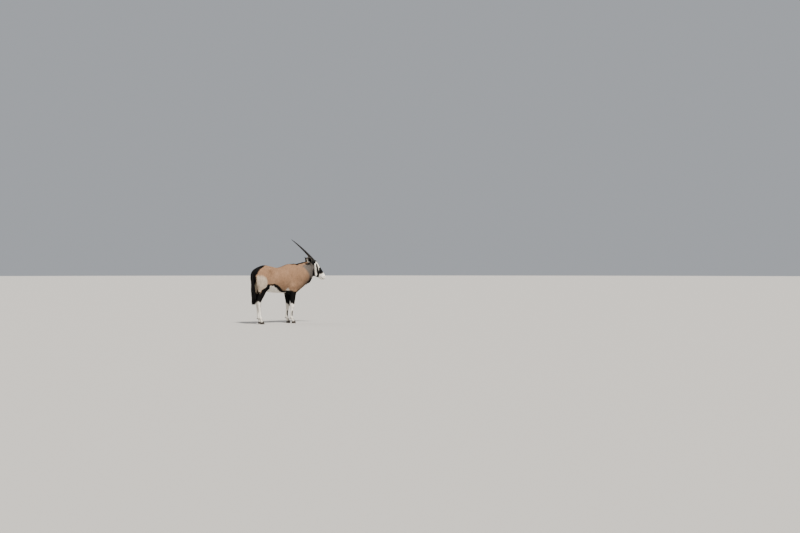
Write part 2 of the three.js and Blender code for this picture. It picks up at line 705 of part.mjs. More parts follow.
function earStub(sideName, side, grow) {
  const along = EAR_TIPS[sideName].clone().normalize();
  const curve = new THREE.LineCurve3(
    earRoot(side).addScaledVector(along, -22 - grow),
    earRoot(side).addScaledVector(along, 30 + grow),
  );
  return sweep(curve, 4, 12, BROWWARD, () => ({ wide: 20.5 + grow, thick: 20.5 + grow }));
}

// EYES: a ball in its socket, with an upper and a lower lid over its edge
function eyeball(side, grow) {
  const ball = new THREE.SphereGeometry(EYE_RADIUS + grow, 12, 7);
  const centre = eyeCentre(side);
  ball.translate(centre.x, centre.y, centre.z);
  return solid(ball);
}

function lids(side) {
  const centre = eyeCentre(side);
  const outward = headWay(0.28, side * 0.95, 0.12).normalize();
  return [{ rise: 13, wide: 5.5 }, { rise: -11, wide: 4.5 }].map(({ rise, wide }) => {
    const points = Array.from({ length: 7 }, (_, i) => {
      const share = i / 6 * 2 - 1;
      const offset = headWay(share * 20, 0, rise * (1 - share * share) - 4 * share)
        .addScaledVector(outward, 16);
      return centre.clone().add(offset.setLength(EYE_RADIUS + 1.5 + 2 * Math.abs(share)));
    });
    const curve = new THREE.CatmullRomCurve3(points);
    return sweep(curve, 7, 5, outward, (share) => {
      const taper = 0.45 + 0.55 * Math.sin(Math.PI * share);
      return { wide: wide * taper, thick: wide * taper };
    });
  });
}

// The line of the mouth: a thin band round the muzzle that cuts in between the lips
function mouthLine() {
  const shape = new THREE.Shape();
  const halfWidth = 70;
  shape.moveTo(0, halfWidth);
  shape.lineTo(0, 22);
  shape.lineTo(62, 21);
  shape.quadraticCurveTo(84, 18, 86, 0);
  shape.quadraticCurveTo(84, -18, 62, -21);
  shape.lineTo(0, -22);
  shape.lineTo(0, -halfWidth);
  shape.lineTo(150, -halfWidth);
  shape.lineTo(150, halfWidth);
  const band = new THREE.ExtrudeGeometry(shape, { depth: 3.2, bevelEnabled: false, curveSegments: 3 });
  const lipWay = headWay(1, 0, 0.2).normalize();
  const lipUp = new THREE.Vector3().crossVectors(lipWay, HEAD_LEFT).normalize();
  lipUp.multiplyScalar(lipUp.dot(BROWWARD) > 0 ? 1 : -1);
  const frame = new THREE.Matrix4().makeBasis(lipWay, HEAD_LEFT, lipUp);
  band.applyMatrix4(frame);
  const start = onHead(322, 0, -30);
  band.translate(start.x, start.y, start.z);
  return solid(band);
}

function nostril(side) {
  const pit = new THREE.SphereGeometry(1, 10, 6);
  const way = headWay(0.75, side * 0.55, 0.1).normalize();
  const length = headWay(0.3, side * 0.25, 0.9).normalize();
  const across = new THREE.Vector3().crossVectors(way, length).normalize();
  way.multiplyScalar(11);
  length.multiplyScalar(9);
  across.multiplyScalar(4.5);
  const frame = new THREE.Matrix4().makeBasis(way, length, across);
  pit.applyMatrix4(frame);
  const centre = cast(headFlesh, onHead(380, side * 14, 22), headWay(0.8, side * 0.6, 0.22).normalize(), 120);
  pit.translate(centre.x, centre.y, centre.z);
  return solid(pit);
}

// The head's flesh, grown outward by a margin
function headForm(margin) {
  const sag = (along) => 6 - 30 * Math.sin(Math.PI * THREE.MathUtils.clamp((along - 20) / 340, 0, 1));
  const centre = (along) => row(onHead(along, 0, sag(along)), NOSEWARD);
  const length = Array.from({ length: 25 }, (_, i) => centre(-40 + i * 16.9));
  const occiput = fan(onHead(-40, 0, 6), NOSEWARD, [-64, -38, -16]);
  const muzzle = fan(onHead(375, 0, 5), NOSEWARD, [12, 26, 42, 60, 76]);
  const grown = (point) => flesh(point) - margin;
  return castSolid(grown, [...occiput, ...length, ...muzzle], BROWWARD, 24, 260, true, true);
}

function headNode() {
  let body = headForm(0);
  SIDES.forEach((side, i) => {
    const name = i ? 'left' : 'right';
    lids(side).forEach((lid) => { body = body.add(lid); });
    body = body.subtract(eyeball(side, GAP)).subtract(nostril(side));
    const socket = horn(side, SOCKET_GAP, 20);
    body = body.subtract(socket).subtract(socket.translate(headWay(SOCKET_GAP, 0, 0).toArray()));
    body = body.subtract(earStub(name, side, GAP));
  });
  const headEnd = beyond(headCut.point, headCut.normal.clone().negate(), -GAP / 2);
  return body.subtract(mouthLine()).subtract(headEnd);
}

const gemsbok = new THREE.Group();

gemsbok.add(meshOf('torso', torsoNode(), FAWN));
gemsbok.add(meshOf('neck', neckNode(), FAWN));
gemsbok.add(meshOf('head', headNode(), WHITE));
gemsbok.add(meshOf('tail', tailNode(), BLACK));
const aroundHead = headForm(1);
SIDES.forEach((side, i) => {
  const name = i ? 'left' : 'right';
  gemsbok.add(meshOf(`horn_${name}`, horn(side, 0, 41), HORN));
  gemsbok.add(meshOf(`ear_${name}`, ear(name, side).subtract(aroundHead).add(earStub(name, side, 0)), GREY));
  gemsbok.add(meshOf(`eye_${name}`, eyeball(side, 0), EYE));
});
LEGS.forEach((leg, i) => {
  gemsbok.add(meshOf(leg.name, legNode(leg, legFields[i]), leg.fore ? BLACK : FAWN));
  const hoof = leg.name.replace('leg', 'hoof');
  gemsbok.add(meshOf(`${hoof}_outer`, clawNode(leg, true), HOOF));
  gemsbok.add(meshOf(`${hoof}_inner`, clawNode(leg, false), HOOF));
});

// The origin is under the middle of the whole animal's bounding box
const bounds = new THREE.Box3().setFromObject(gemsbok);
const middle = bounds.getCenter(new THREE.Vector3());
gemsbok.position.set(-middle.x, -middle.y, -bounds.min.z);

export default gemsbok;
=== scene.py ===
# %% [markdown]
# # A gemsbok, dressed from its solids
# A gemsbok is a large antelope with a fawn body, black and white markings and long straight horns.
# The solids already hold its size and pose. This lesson grows one skin over them, paints the
# markings as functions of the place on the body, and lays short tufts, locks, horns, hooves and
# eyes on top. The camera comes first, so that each step can be looked at as it is added.

# %% Load the frame
import math
import bmesh
import bpy
import numpy as np
import openvdb
from mathutils import Matrix, Vector
from mathutils.bvhtree import BVHTree


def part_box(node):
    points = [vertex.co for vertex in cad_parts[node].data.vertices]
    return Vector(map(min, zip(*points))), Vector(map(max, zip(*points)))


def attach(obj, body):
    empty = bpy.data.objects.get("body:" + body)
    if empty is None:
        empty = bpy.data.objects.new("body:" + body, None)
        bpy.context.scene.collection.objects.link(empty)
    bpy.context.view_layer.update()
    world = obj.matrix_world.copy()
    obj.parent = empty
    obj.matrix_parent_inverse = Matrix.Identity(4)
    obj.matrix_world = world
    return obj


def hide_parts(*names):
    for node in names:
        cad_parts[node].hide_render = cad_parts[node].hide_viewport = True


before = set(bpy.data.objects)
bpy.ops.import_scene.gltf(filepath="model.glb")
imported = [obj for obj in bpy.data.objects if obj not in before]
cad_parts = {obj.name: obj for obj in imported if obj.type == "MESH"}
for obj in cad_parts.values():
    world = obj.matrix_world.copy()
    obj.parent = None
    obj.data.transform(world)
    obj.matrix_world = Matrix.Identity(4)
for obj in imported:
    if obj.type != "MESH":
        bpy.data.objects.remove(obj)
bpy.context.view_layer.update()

# %% [markdown]
# ## Places on the animal
# Each size below is in metres and is counted from the animal itself: forward of the middle of the
# body, to its left, and up from the floor. The frame tells where that middle is. The fore hooves
# stand evenly on both sides of it, and the right one's toe tip lies a known way ahead of it.

# %% Body places
FORE_TOE_AHEAD = 0.432
UP = np.array([0.0, 0.0, 1.0])
AHEAD = np.array([0.0, -1.0, 0.0])
LEFTWARD = np.array([1.0, 0.0, 0.0])


def corners(node):
    low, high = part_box(node)
    return np.array(low), np.array(high)


right_low = corners("hoof_fore_right_outer")[0]
left_high = corners("hoof_fore_left_outer")[1]
MIDLINE = (right_low[0] + left_high[0]) / 2
MIDDLE = right_low[1] + FORE_TOE_AHEAD


def at(forward, left, height):
    return np.array([MIDLINE + left, MIDDLE - forward, height])


def body_places(points):
    """How far forward, to the left and up each point lies."""
    return MIDDLE - points[:, 1], points[:, 0] - MIDLINE, points[:, 2]


print("middle of the body at", MIDLINE, MIDDLE)

# %% [markdown]
# ## The camera
# The picture was taken from far off with a long lens, so the animal fills only a small part of it.
# A camera 22.6 m away with a 50 mm lens gives the same picture. It stands level at about
# shoulder height, 30 degrees ahead of the animal's right side, and is turned a little so that the
# animal stands left of the middle.

# %% Camera
CAMERA_AZIMUTH = math.radians(240)
CAMERA_DISTANCE = 22.6
CAMERA_HEIGHT = 1.154
LENS = 50
SENSOR_WIDTH = 36
FAR_END = 200
PICTURE_MIDDLE = 400
ANIMAL_COLUMN = 274.7
LENS_IN_PIXELS = 1111.1
CAMERA_TURN = math.atan((PICTURE_MIDDLE - ANIMAL_COLUMN) / LENS_IN_PIXELS)

back = Vector((math.sin(CAMERA_AZIMUTH), -math.cos(CAMERA_AZIMUTH), 0))
view_back = Matrix.Rotation(-CAMERA_TURN, 3, "Z") @ back
camera_data = bpy.data.cameras.new("camera")
camera_data.lens = LENS
camera_data.sensor_width = SENSOR_WIDTH
camera_data.clip_end = FAR_END
camera = bpy.data.objects.new("camera", camera_data)
bpy.context.scene.collection.objects.link(camera)
camera.location = Vector(at(0, 0, CAMERA_HEIGHT)) + back * CAMERA_DISTANCE
camera.rotation_euler = view_back.to_track_quat("Z", "Y").to_euler()
bpy.context.scene.camera = camera
print("camera at", camera.location)

# %% [markdown]
# ## Floor and light
# A pale floor shows where the hooves stand, and soft light from all round shows the coat without
# hard shadows. The floor is a very large disc, so it also lies behind the animal in the long view.
# A large lamp high on the camera's side gives the body some roundness.

# %% Floor and light
def new_material(name, roughness):
    material = bpy.data.materials.new(name)
    material.use_nodes = True
    shader = material.node_tree.nodes["Principled BSDF"]
    shader.inputs["Roughness"].default_value = roughness
    return material, shader


FLOOR_RADIUS = 120
FLOOR_TONE = (0.50, 0.48, 0.45, 1)
SKY_TONE = (0.80, 0.84, 0.90, 1)
SKY_STRENGTH = 0.50
LAMP_TONE = (1.0, 0.96, 0.90)
bpy.ops.mesh.primitive_circle_add(vertices=96, radius=FLOOR_RADIUS, fill_type="NGON")
floor = bpy.context.object
floor.name = "floor"
floor_material, floor_shader = new_material("pale floor", 0.9)
floor_shader.inputs["Base Color"].default_value = FLOOR_TONE
floor.data.materials.append(floor_material)

world = bpy.data.worlds.new("pale sky")
bpy.context.scene.world = world
world.use_nodes = True
sky = world.node_tree.nodes["Background"]
sky.inputs["Color"].default_value = SKY_TONE
sky.inputs["Strength"].default_value = SKY_STRENGTH


def lamp(name, azimuth, elevation, angle, strength):
    light = bpy.data.lights.new(name, "SUN")
    light.energy = strength
    light.angle = math.radians(angle)
    light.color = LAMP_TONE
    holder = bpy.data.objects.new(name, light)
    bpy.context.scene.collection.objects.link(holder)
    a = math.radians(azimuth)
    e = math.radians(elevation)
    toward = Vector((math.sin(a) * math.cos(e), -math.cos(a) * math.cos(e), math.sin(e)))
    holder.rotation_euler = toward.to_track_quat("Z", "Y").to_euler()
    print(name, "shines from", toward)


lamp("main lamp", azimuth=262, elevation=50, angle=8, strength=6.4)
lamp("fill lamp", azimuth=120, elevation=40, angle=40, strength=0.9)

# %% [markdown]
# ## The head's own frame
# The head is pitched and turned, so its details are placed along three directions of its own: down
# the face, to its left, and out through the forehead. The solids' two eyes give its place and its
# turn, and the pitch of the face line is the one the solids were made with.

# %% Head places
HEAD_PITCH = math.radians(50)
EYE_ALONG = 0.128
EYE_BROW = 0.058
SIDES = {"right": -1, "left": 1}

eyes = {side: sum(corners("eye_" + side)) / 2 for side in SIDES}
HEAD_LEFT = (eyes["left"] - eyes["right"]) / np.linalg.norm(eyes["left"] - eyes["right"])
level = np.cross(HEAD_LEFT, UP)
NOSEWARD = level * math.cos(HEAD_PITCH) - UP * math.sin(HEAD_PITCH)
BROWWARD = level * math.sin(HEAD_PITCH) + UP * math.cos(HEAD_PITCH)
POLL = (eyes["left"] + eyes["right"]) / 2 - NOSEWARD * EYE_ALONG - BROWWARD * EYE_BROW


def head_way(along, left, brow):
    return NOSEWARD * along + HEAD_LEFT * left + BROWWARD * brow


def on_head(along, left, brow):
    return POLL + head_way(along, left, brow)


def head_places(points):
    """How far down the face, to its left and out through the forehead each point lies."""
    offset = points - POLL
    return offset @ NOSEWARD, offset @ HEAD_LEFT, offset @ BROWWARD


def unit(ways):
    return ways / np.maximum(np.linalg.norm(ways, axis=-1, keepdims=True), 1e-9)


print("poll at", POLL, "head left", HEAD_LEFT)

# %% [markdown]
# ## One skin over all the flesh
# The solids meet at thin cuts, and stiff locks stand in for the mane and the throat's fringe. A
# real hide has no seam, so the skin is taken from a volume. All nodes of flesh go into one level
# set, which stores the distance to the surface in small cells. Growing it a little closes
# the cuts, shrinking it far drops every thin lock, and growing it back leaves the body, a coat's
# depth inside the solids. A subdivided cage would need its joins modelled one by one.

# %% The skin's volume
CELL = 0.0065
SKIN_CELL = 0.0082
CLOSE = 0.0055
THIN = 0.0085
COAT_DEPTH = 0.0045
FLESH = ["torso", "neck", "head", "ear_right", "ear_left", "eye_right", "eye_left"]
LEGS = ["leg_fore_right", "leg_fore_left", "leg_hind_right", "leg_hind_left"]
HOOVES = [leg.replace("leg", "hoof") + end for leg in LEGS for end in ("_outer", "_inner")]


def places_of(data):
    points = np.empty(len(data.vertices) * 3)
    data.vertices.foreach_get("co", points)
    return points.reshape(-1, 3)


def triangles_of(data):
    data.calc_loop_triangles()
    triangles = np.empty(len(data.loop_triangles) * 3, dtype=np.int32)
    data.loop_triangles.foreach_get("vertices", triangles)
    return triangles.reshape(-1, 3)


def ellipsoid(centre, axes, sizes):
    ball = bmesh.new()
    bmesh.ops.create_icosphere(ball, subdivisions=3, radius=1)
    local = np.array([vertex.co for vertex in ball.verts]) * sizes
    triangles = np.array([[vertex.index for vertex in face.verts] for face in ball.faces])
    ball.free()
    return centre + local @ np.array(axes), triangles


def together(pieces):
    counts = np.cumsum([0] + [len(points) for points, _ in pieces])
    points = np.vstack([points for points, _ in pieces])
    triangles = np.vstack([faces + count for (_, faces), count in zip(pieces, counts)])
    return points, triangles


def level_set(points, faces, cell):
    transform = openvdb.createLinearTransform(voxelSize=cell)
    corner_count = {3: "triangles", 4: "quads"}[faces.shape[1]]
    return openvdb.FloatGrid.createLevelSetFromPolygons(
        points.astype(np.float32), **{corner_count: faces.astype(np.uint32)},
        transform=transform, halfWidth=4)


def surface_at(grid, depth):
    points, quads = grid.convertToQuads(isovalue=depth)
    return points.astype(float), quads.astype(np.int64)


print(len(FLESH + LEGS + HOOVES), "nodes of flesh, eyes, ears and hooves go into the skin")

# %% [markdown]
# The sockets of the horns and of the tail would be pits in the skin, so an egg fills each. The three
# levels then follow one another: close the cuts, drop the thin locks, and grow back to the coat's
# depth.

# %% Plugs and the three levels
PEDICLE = dict(along=0.030, left=0.036, brow=0.076)
PEDICLE_SIZES = (0.050, 0.035, 0.036)
DOCK_PLUG = at(-0.475, 0, 1.035)
DOCK_PLUG_SIZES = (0.045, 0.032, 0.034)
HEAD_AXES = [NOSEWARD, HEAD_LEFT, BROWWARD]
BODY_AXES = [AHEAD, LEFTWARD, UP]
flesh_data = [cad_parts[name].data for name in FLESH + LEGS + HOOVES]
solids = [(places_of(data), triangles_of(data)) for data in flesh_data]
for sign in SIDES.values():
    base = on_head(PEDICLE["along"], sign * PEDICLE["left"], PEDICLE["brow"])
    solids.append(ellipsoid(base, HEAD_AXES, PEDICLE_SIZES))
solids.append(ellipsoid(DOCK_PLUG, BODY_AXES, DOCK_PLUG_SIZES))

closed = surface_at(level_set(*together(solids), CELL), CLOSE)
core = surface_at(level_set(*closed, CELL), -CLOSE - THIN)
skin_points, skin_quads = surface_at(level_set(*core, SKIN_CELL), THIN - COAT_DEPTH)
print("skin", len(skin_points), "points", len(skin_quads), "quads")

# %% [markdown]
# ## Smoothing without shrinking
# The solids are faceted, so the skin still shows their flats. Plain smoothing would wear the thin
# legs away. Taubin's way takes one step in and a slightly larger step out each time, which removes
# the flats and keeps the girth of every limb.

# %% Smooth the skin
STEP_IN = 0.5
STEP_OUT = -0.52
SKIN_STEPS = 24


def edge_pairs(faces):
    following = np.roll(faces, -1, axis=1)
    pairs = np.stack([faces.ravel(), following.ravel()], 1)
    return np.unique(np.sort(pairs, axis=1), axis=0)


def relaxed(points, pairs, steps, share=None):
    start = np.concatenate([pairs[:, 0], pairs[:, 1]])
    end = np.concatenate([pairs[:, 1], pairs[:, 0]])
    count = np.bincount(start, minlength=len(points))[:, None]
    weight = 1.0 if share is None else share[:, None]
    for step in range(steps):
        for amount in (STEP_IN, STEP_OUT):
            mean = np.stack([np.bincount(start, points[end, axis], len(points)) for axis in range(3)], 1)
            points = points + weight * amount * (mean / count - points)
    return points


skin_points = relaxed(skin_points, edge_pairs(skin_quads), SKIN_STEPS)


def mesh_object(name, points, faces):
    data = bpy.data.meshes.new(name)
    sides = faces.shape[1]
    data.vertices.add(len(points))
    data.vertices.foreach_set("co", points.astype(np.float32).ravel())
    data.loops.add(faces.size)
    data.loops.foreach_set("vertex_index", faces.astype(np.int32).ravel())
    data.polygons.add(len(faces))
    data.polygons.foreach_set("loop_start", np.arange(0, faces.size, sides, dtype=np.int32))
    data.update(calc_edges=True)
    data.validate()
    thing = bpy.data.objects.new(name, data)
    bpy.context.scene.collection.objects.link(thing)
    return thing


def volume_of(points, faces):
    a, b, c = (points[faces[:, i]] for i in range(3))
    return np.einsum("ij,ij->i", a, np.cross(b, c)).sum() / 6


if volume_of(skin_points, skin_quads) < 0:
    skin_quads = skin_quads[:, ::-1]
skin = mesh_object("skin", skin_points, skin_quads)
print("skin holds", volume_of(skin_points, skin_quads), "cubic metres")

# %% [markdown]
# ## Finer cells where the face needs them
# Lids, lips and nostrils are a few millimetres wide, and the skin's cells are eight. Only the head
# is divided further: once all over, and once more round the eyes and over the muzzle.

# %% Refine the head
HEAD_STEPS = 6


def divide(chosen):
    work = bmesh.new()
    work.from_mesh(skin.data)
    work.verts.ensure_lookup_table()
    edges = [edge for edge in work.edges if chosen[edge.verts[0].index] and chosen[edge.verts[1].index]]
    bmesh.ops.subdivide_edges(work, edges=edges, cuts=1, use_grid_fill=True, smooth=0.0)
    work.to_mesh(skin.data)
    work.free()


def near_head(points, start=-0.01, reach=0.17):
    along, left, brow = head_places(points)
    return (along > start) & (np.hypot(left, brow + 0.02) < reach)


def near_features(points):
    along, _, brow = head_places(points)
    muzzle = (along > 0.285) & (brow < 0.2) & (brow > -0.12)
    near_eye = np.zeros(len(points), bool)
    for centre in eyes.values():
        near_eye |= np.linalg.norm(points - centre, axis=1) < 0.042
    return near_head(points) & (muzzle | near_eye)


divide(near_head(places_of(skin.data)))
divide(near_features(places_of(skin.data)))
fine_points = places_of(skin.data)
edge_list = np.empty(len(skin.data.edges) * 2, dtype=np.int32)
skin.data.edges.foreach_get("vertices", edge_list)
head_share = near_head(fine_points) * 1.0
fine_points = relaxed(fine_points, edge_list.reshape(-1, 2), HEAD_STEPS, share=head_share)
print("refined skin", len(fine_points), "points", len(skin.data.polygons), "faces")

# %% [markdown]
# ## Muscle, bone and hollow
# A smooth tube doesn't read as an animal. Under a short coat the shoulder blade, the elbow, ribs,
# hip bone, stifle, hock and the tendons of the legs all show. Each one is a soft bump or hollow:
# a place, how far it reaches along the body, sideways and up, and how much it lifts the skin.

# %% Body relief
def rounded(points, centre, axes, sizes):
    local = (points - centre) @ np.array(axes).T / np.array(sizes)
    return np.exp(-np.sum(local * local, axis=1))


def both_sides(off_middle):
    return (1, -1) if off_middle else (1,)


def relief(points, form, place, axes):
    """The lift that a list of bumps and hollows gives; those off the middle stand on both sides."""
    lift = np.zeros(len(points))
    for name, (ahead, left, rise), sizes, amount in form:
        for sign in both_sides(left):
            lift += amount * rounded(points, place(ahead, sign * left, rise), axes, sizes)
    return lift


FORM = [
    ("shoulder blade ridge", (0.390, 0.155, 0.960), (0.022, 0.060, 0.130), 0.008),
    ("hollow behind the blade", (0.290, 0.190, 0.930), (0.030, 0.070, 0.120), -0.009),
    ("upper arm muscle", (0.330, 0.180, 0.760), (0.060, 0.060, 0.060), 0.010),
    ("point of the shoulder", (0.500, 0.130, 0.800), (0.035, 0.050, 0.045), 0.010),
    ("elbow", (0.300, 0.140, 0.655), (0.026, 0.040, 0.030), 0.010),
    ("flank hollow", (-0.130, 0.200, 0.960), (0.055, 0.070, 0.075), -0.015),
    ("hip bone", (-0.195, 0.140, 1.085), (0.030, 0.040, 0.028), 0.010),
    ("thigh muscle", (-0.330, 0.190, 0.900), (0.070, 0.060, 0.110), 0.009),
    ("groove behind the thigh", (-0.435, 0.170, 0.860), (0.016, 0.060, 0.120), -0.007),
    ("stifle", (-0.265, 0.170, 0.770), (0.030, 0.050, 0.040), 0.010),
    ("flank fold", (-0.225, 0.160, 0.740), (0.030, 0.050, 0.030), 0.010),
    ("withers", (0.330, 0.000, 1.200), (0.080, 0.030, 0.040), 0.004),
    ("croup", (-0.250, 0.000, 1.190), (0.080, 0.030, 0.040), 0.004),
    ("keel of the brisket", (0.470, 0.000, 0.640), (0.100, 0.020, 0.050), 0.010),
]
RIB_COUNT = 9
FIRST_RIB = 0.215
RIB_STEP = 0.034
for number in range(RIB_COUNT):
    ahead = FIRST_RIB - RIB_STEP * number
    FORM.append(("rib", (ahead, 0.200, 0.880), (0.009, 0.090, 0.130), 0.0022))

lift = relief(fine_points, FORM, at, BODY_AXES)
print(len(FORM), "bumps and hollows, from", lift.min(), "to", lift.max())

# %% [markdown]
# The legs differ in how far each one steps, so their bones are placed along the leg itself. Each
# leg's node gives the middle of the limb at any height. On the legs and the face the coat is
# shorter, so there the skin is lifted nearer to the solids.

# %% Leg relief
LEG_FORM = {
    "fore": [("knee", 0.352, (0.0, 0.0), (0.034, 0.034, 0.026), 0.004),
             ("knee's edge", 0.375, (0.030, 0.0), (0.012, 0.030, 0.016), 0.003),
             ("accessory bone", 0.372, (-0.036, 0.0), (0.014, 0.022, 0.014), 0.006),
             ("tendon groove", 0.225, (-0.004, 0.018), (0.007, 0.012, 0.075), -0.004),
             ("fetlock", 0.128, (0.0, 0.0), (0.034, 0.034, 0.020), 0.003)],
    "hind": [("point of the hock", 0.470, (-0.045, 0.0), (0.018, 0.024, 0.030), 0.009),
             ("hock's inner bones", 0.405, (0.010, 0.0), (0.034, 0.034, 0.026), 0.003),
             ("heel tendon groove", 0.540, (-0.024, 0.022), (0.010, 0.018, 0.055), -0.007),
             ("tendon groove", 0.240, (-0.004, 0.018), (0.007, 0.012, 0.080), -0.004),
             ("fetlock", 0.128, (0.0, 0.0), (0.034, 0.034, 0.020), 0.003)],
}
LEG_SLICE = 0.02
leg_points = {leg: places_of(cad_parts[leg].data) for leg in LEGS}


def side_of(leg):
    return 1 if leg.endswith("left") else -1


def limb_middle(leg, height):
    points = leg_points[leg]
    near = points[np.abs(points[:, 2] - height) < LEG_SLICE]
    return (near.min(0) + near.max(0)) / 2


LEG_LEVELS = np.arange(0.08, 0.70, 0.02)
leg_middles = {leg: np.array([limb_middle(leg, level) for level in LEG_LEVELS]) for leg in LEGS}


def limb_forward(leg, height):
    """How far forward the middle of a leg lies at each height."""
    return MIDDLE - np.interp(height, LEG_LEVELS, leg_middles[leg][:, 1])


print("levels of each leg", len(LEG_LEVELS))

# %% [markdown]
# Now the skin is lifted along its own normals, by the body's and the legs' relief together. Inside the
# claws it is drawn back, so that no skin shows through them.

# %% Lift the skin
SHORT_HAIR_LIFT = 0.0030
CLAW_CLEARANCE = 0.0055
LEG_TOP = 0.66
LEG_BLEND = 0.10
CLAW_TOP = 0.062
CLAW_BLEND = 0.016

for leg in LEGS:
    for name, height, (forward, left), sizes, amount in LEG_FORM["fore" if "fore" in leg else "hind"]:
        middle = limb_middle(leg, height)
        for sign in both_sides(left):
            centre = np.array([middle[0] + sign * left, middle[1] - forward, height])
            lift += amount * rounded(fine_points, centre, BODY_AXES, sizes)


def normals_of(data):
    ways = np.empty(len(data.vertices) * 3, dtype=np.float32)
    data.vertex_normals.foreach_get("vector", ways)
    return ways.reshape(-1, 3).astype(float)


def set_points(data, points):
    data.vertices.foreach_set("co", points.astype(np.float32).ravel())
    data.update()


set_points(skin.data, fine_points)
on_legs = np.clip((LEG_TOP - fine_points[:, 2]) / LEG_BLEND, 0, 1)
in_claws = np.clip((CLAW_TOP - fine_points[:, 2]) / CLAW_BLEND, 0, 1)
lift += SHORT_HAIR_LIFT * np.maximum(on_legs, near_head(fine_points, 0.02) * 0.6) * (1 - in_claws)
lift -= CLAW_CLEARANCE * in_claws
fine_points = fine_points + normals_of(skin.data) * lift[:, None]
set_points(skin.data, fine_points)
print("relief from", lift.min(), "to", lift.max())

# %% [markdown]
# ## The face
# The head gets the most care. The skin is drawn back from an almond round each eye, with a raised
# lid on its rim, so that the ball behind shows. The cheek muscle, the ridge under the eye and the
# hollow above it are soft bumps and hollows, and the line of the mouth is a groove between two lips.

# %% Face relief
FACE_FORM = [
    ("brow over the eye", (0.118, 0.062, 0.084), (0.028, 0.016, 0.012), 0.006),
    ("hollow above the eye", (0.070, 0.066, 0.070), (0.022, 0.020, 0.020), -0.007),
    ("tear hollow", (0.172, 0.054, 0.040), (0.022, 0.016, 0.010), -0.004),
    ("cheek ridge", (0.170, 0.060, 0.012), (0.060, 0.018, 0.009), 0.006),
    ("cheek muscle", (0.135, 0.062, -0.050), (0.050, 0.024, 0.040), 0.006),
    ("hollow of the jaw", (0.235, 0.040, -0.030), (0.050, 0.018, 0.016), -0.006),
    ("nose bone's edge", (0.250, 0.036, 0.070), (0.070, 0.012, 0.010), 0.003),
    ("side of the nose", (0.270, 0.046, 0.030), (0.060, 0.014, 0.018), -0.005),
    ("upper lip", (0.372, 0.042, -0.004), (0.030, 0.016, 0.015), 0.005),
    ("chin", (0.385, 0.000, -0.045), (0.024, 0.026, 0.016), 0.005),
    ("angle of the jaw", (0.120, 0.048, -0.118), (0.034, 0.022, 0.016), 0.005),
]


def polyline_distance(x, y, line):
    """The distance in a plane to a line through the given places, and the share of its length."""
    line = np.array(line)
    lengths = np.linalg.norm(np.diff(line, axis=0), axis=1)
    nearest = np.full(len(x), np.inf)
    share = np.zeros(len(x))
    done = 0.0
    for start, end, length in zip(line[:-1], line[1:], lengths):
        way = (end - start) / length
        along = np.clip((x - start[0]) * way[0] + (y - start[1]) * way[1], 0, length)
        gap = np.hypot(x - start[0] - along * way[0], y - start[1] - along * way[1])
        closer = gap < nearest
        nearest = np.where(closer, gap, nearest)
        share = np.where(closer, (done + along) / lengths.sum(), share)
        done += length
    return nearest, share


MOUTH = [(0.430, -0.012), (0.385, -0.020), (0.345, -0.028), (0.315, -0.036), (0.300, -0.044)]
LIP_REACH = 0.009
LIP_SWELL = 0.0018
MOUTH_GROOVE = 0.0026
MOUTH_DEPTH = 0.0055
SHALLOWER_AHEAD = 0.0040
along, left, brow = head_places(fine_points)
lift = relief(fine_points, FACE_FORM, on_head, HEAD_AXES)
gap, share = polyline_distance(along, brow, MOUTH)
on_face = near_head(fine_points, 0.28)
lips = np.exp(-((gap - LIP_REACH * 0.6) / (LIP_REACH * 0.45)) ** 2) * LIP_SWELL
depth = MOUTH_DEPTH - SHALLOWER_AHEAD * np.clip((along - 0.385) / 0.02, 0, 1)
groove = np.clip(1 - gap / MOUTH_GROOVE, 0, 1) * depth
lift += on_face * (lips - groove) * np.clip((1 - share) * 6, 0, 1)
print("face relief from", lift.min(), "to", lift.max())

# %% [markdown]
# A nostril is a slanting comma with a soft rim. How far a place lies along and across the comma
# gives one measure: near its edge the skin rises a little, and inside it the skin sinks.

# %% Nostrils
NOSTRIL = dict(along=0.386, left=0.020, brow=0.032)
NOSTRIL_RIM = 0.0016
NOSTRIL_DEPTH = 0.012


def nostril_centre(sign):
    return on_head(NOSTRIL["along"], sign * NOSTRIL["left"], NOSTRIL["brow"])


for sign in SIDES.values():
    centre = nostril_centre(sign)
    slant = unit(head_way(-0.55, sign * 0.35, -0.75))
    across = unit(np.cross(slant, head_way(0.7, sign * 0.7, 0.1)))
    offset = fine_points - centre
    length = offset @ slant
    width = offset @ across - 0.004 * np.clip(length / 0.014, -1, 1) ** 2
    reach = np.sqrt((length / 0.0145) ** 2 + (width / 0.0056) ** 2)
    outside = (offset @ head_way(0.55, sign * 0.75, 0.0) > -0.02) & (left * sign > 0)
    rim = np.exp(-((reach - 1.45) / 0.4) ** 2) * NOSTRIL_RIM
    pit = np.clip(1.25 - reach, 0, 1) * NOSTRIL_DEPTH
    lift += outside * near_head(fine_points, 0.33) * (rim - pit)
fine_points = fine_points + normals_of(skin.data) * lift[:, None]
print("deepest hollow of the face", lift.min())

# %% [markdown]
# The lids are pressed onto a ball a little larger than the eye, so they hug it. Inside the almond
# the skin sinks behind the ball.

# %% Eyelids
EYE_RADIUS = 0.0190
LID = 0.0026
ALMOND = dict(length=0.0178, height=0.0120)


def eye_ways(sign):
    """Out of the eye, along its opening toward the nose, and up across it."""
    outward = unit(head_way(0.22, sign * 0.96, 0.14))
    noseward = head_way(0.92, 0, -0.28)
    lengthwise = unit(noseward - outward * (noseward @ outward))
    return outward, lengthwise, np.cross(outward, lengthwise) * sign


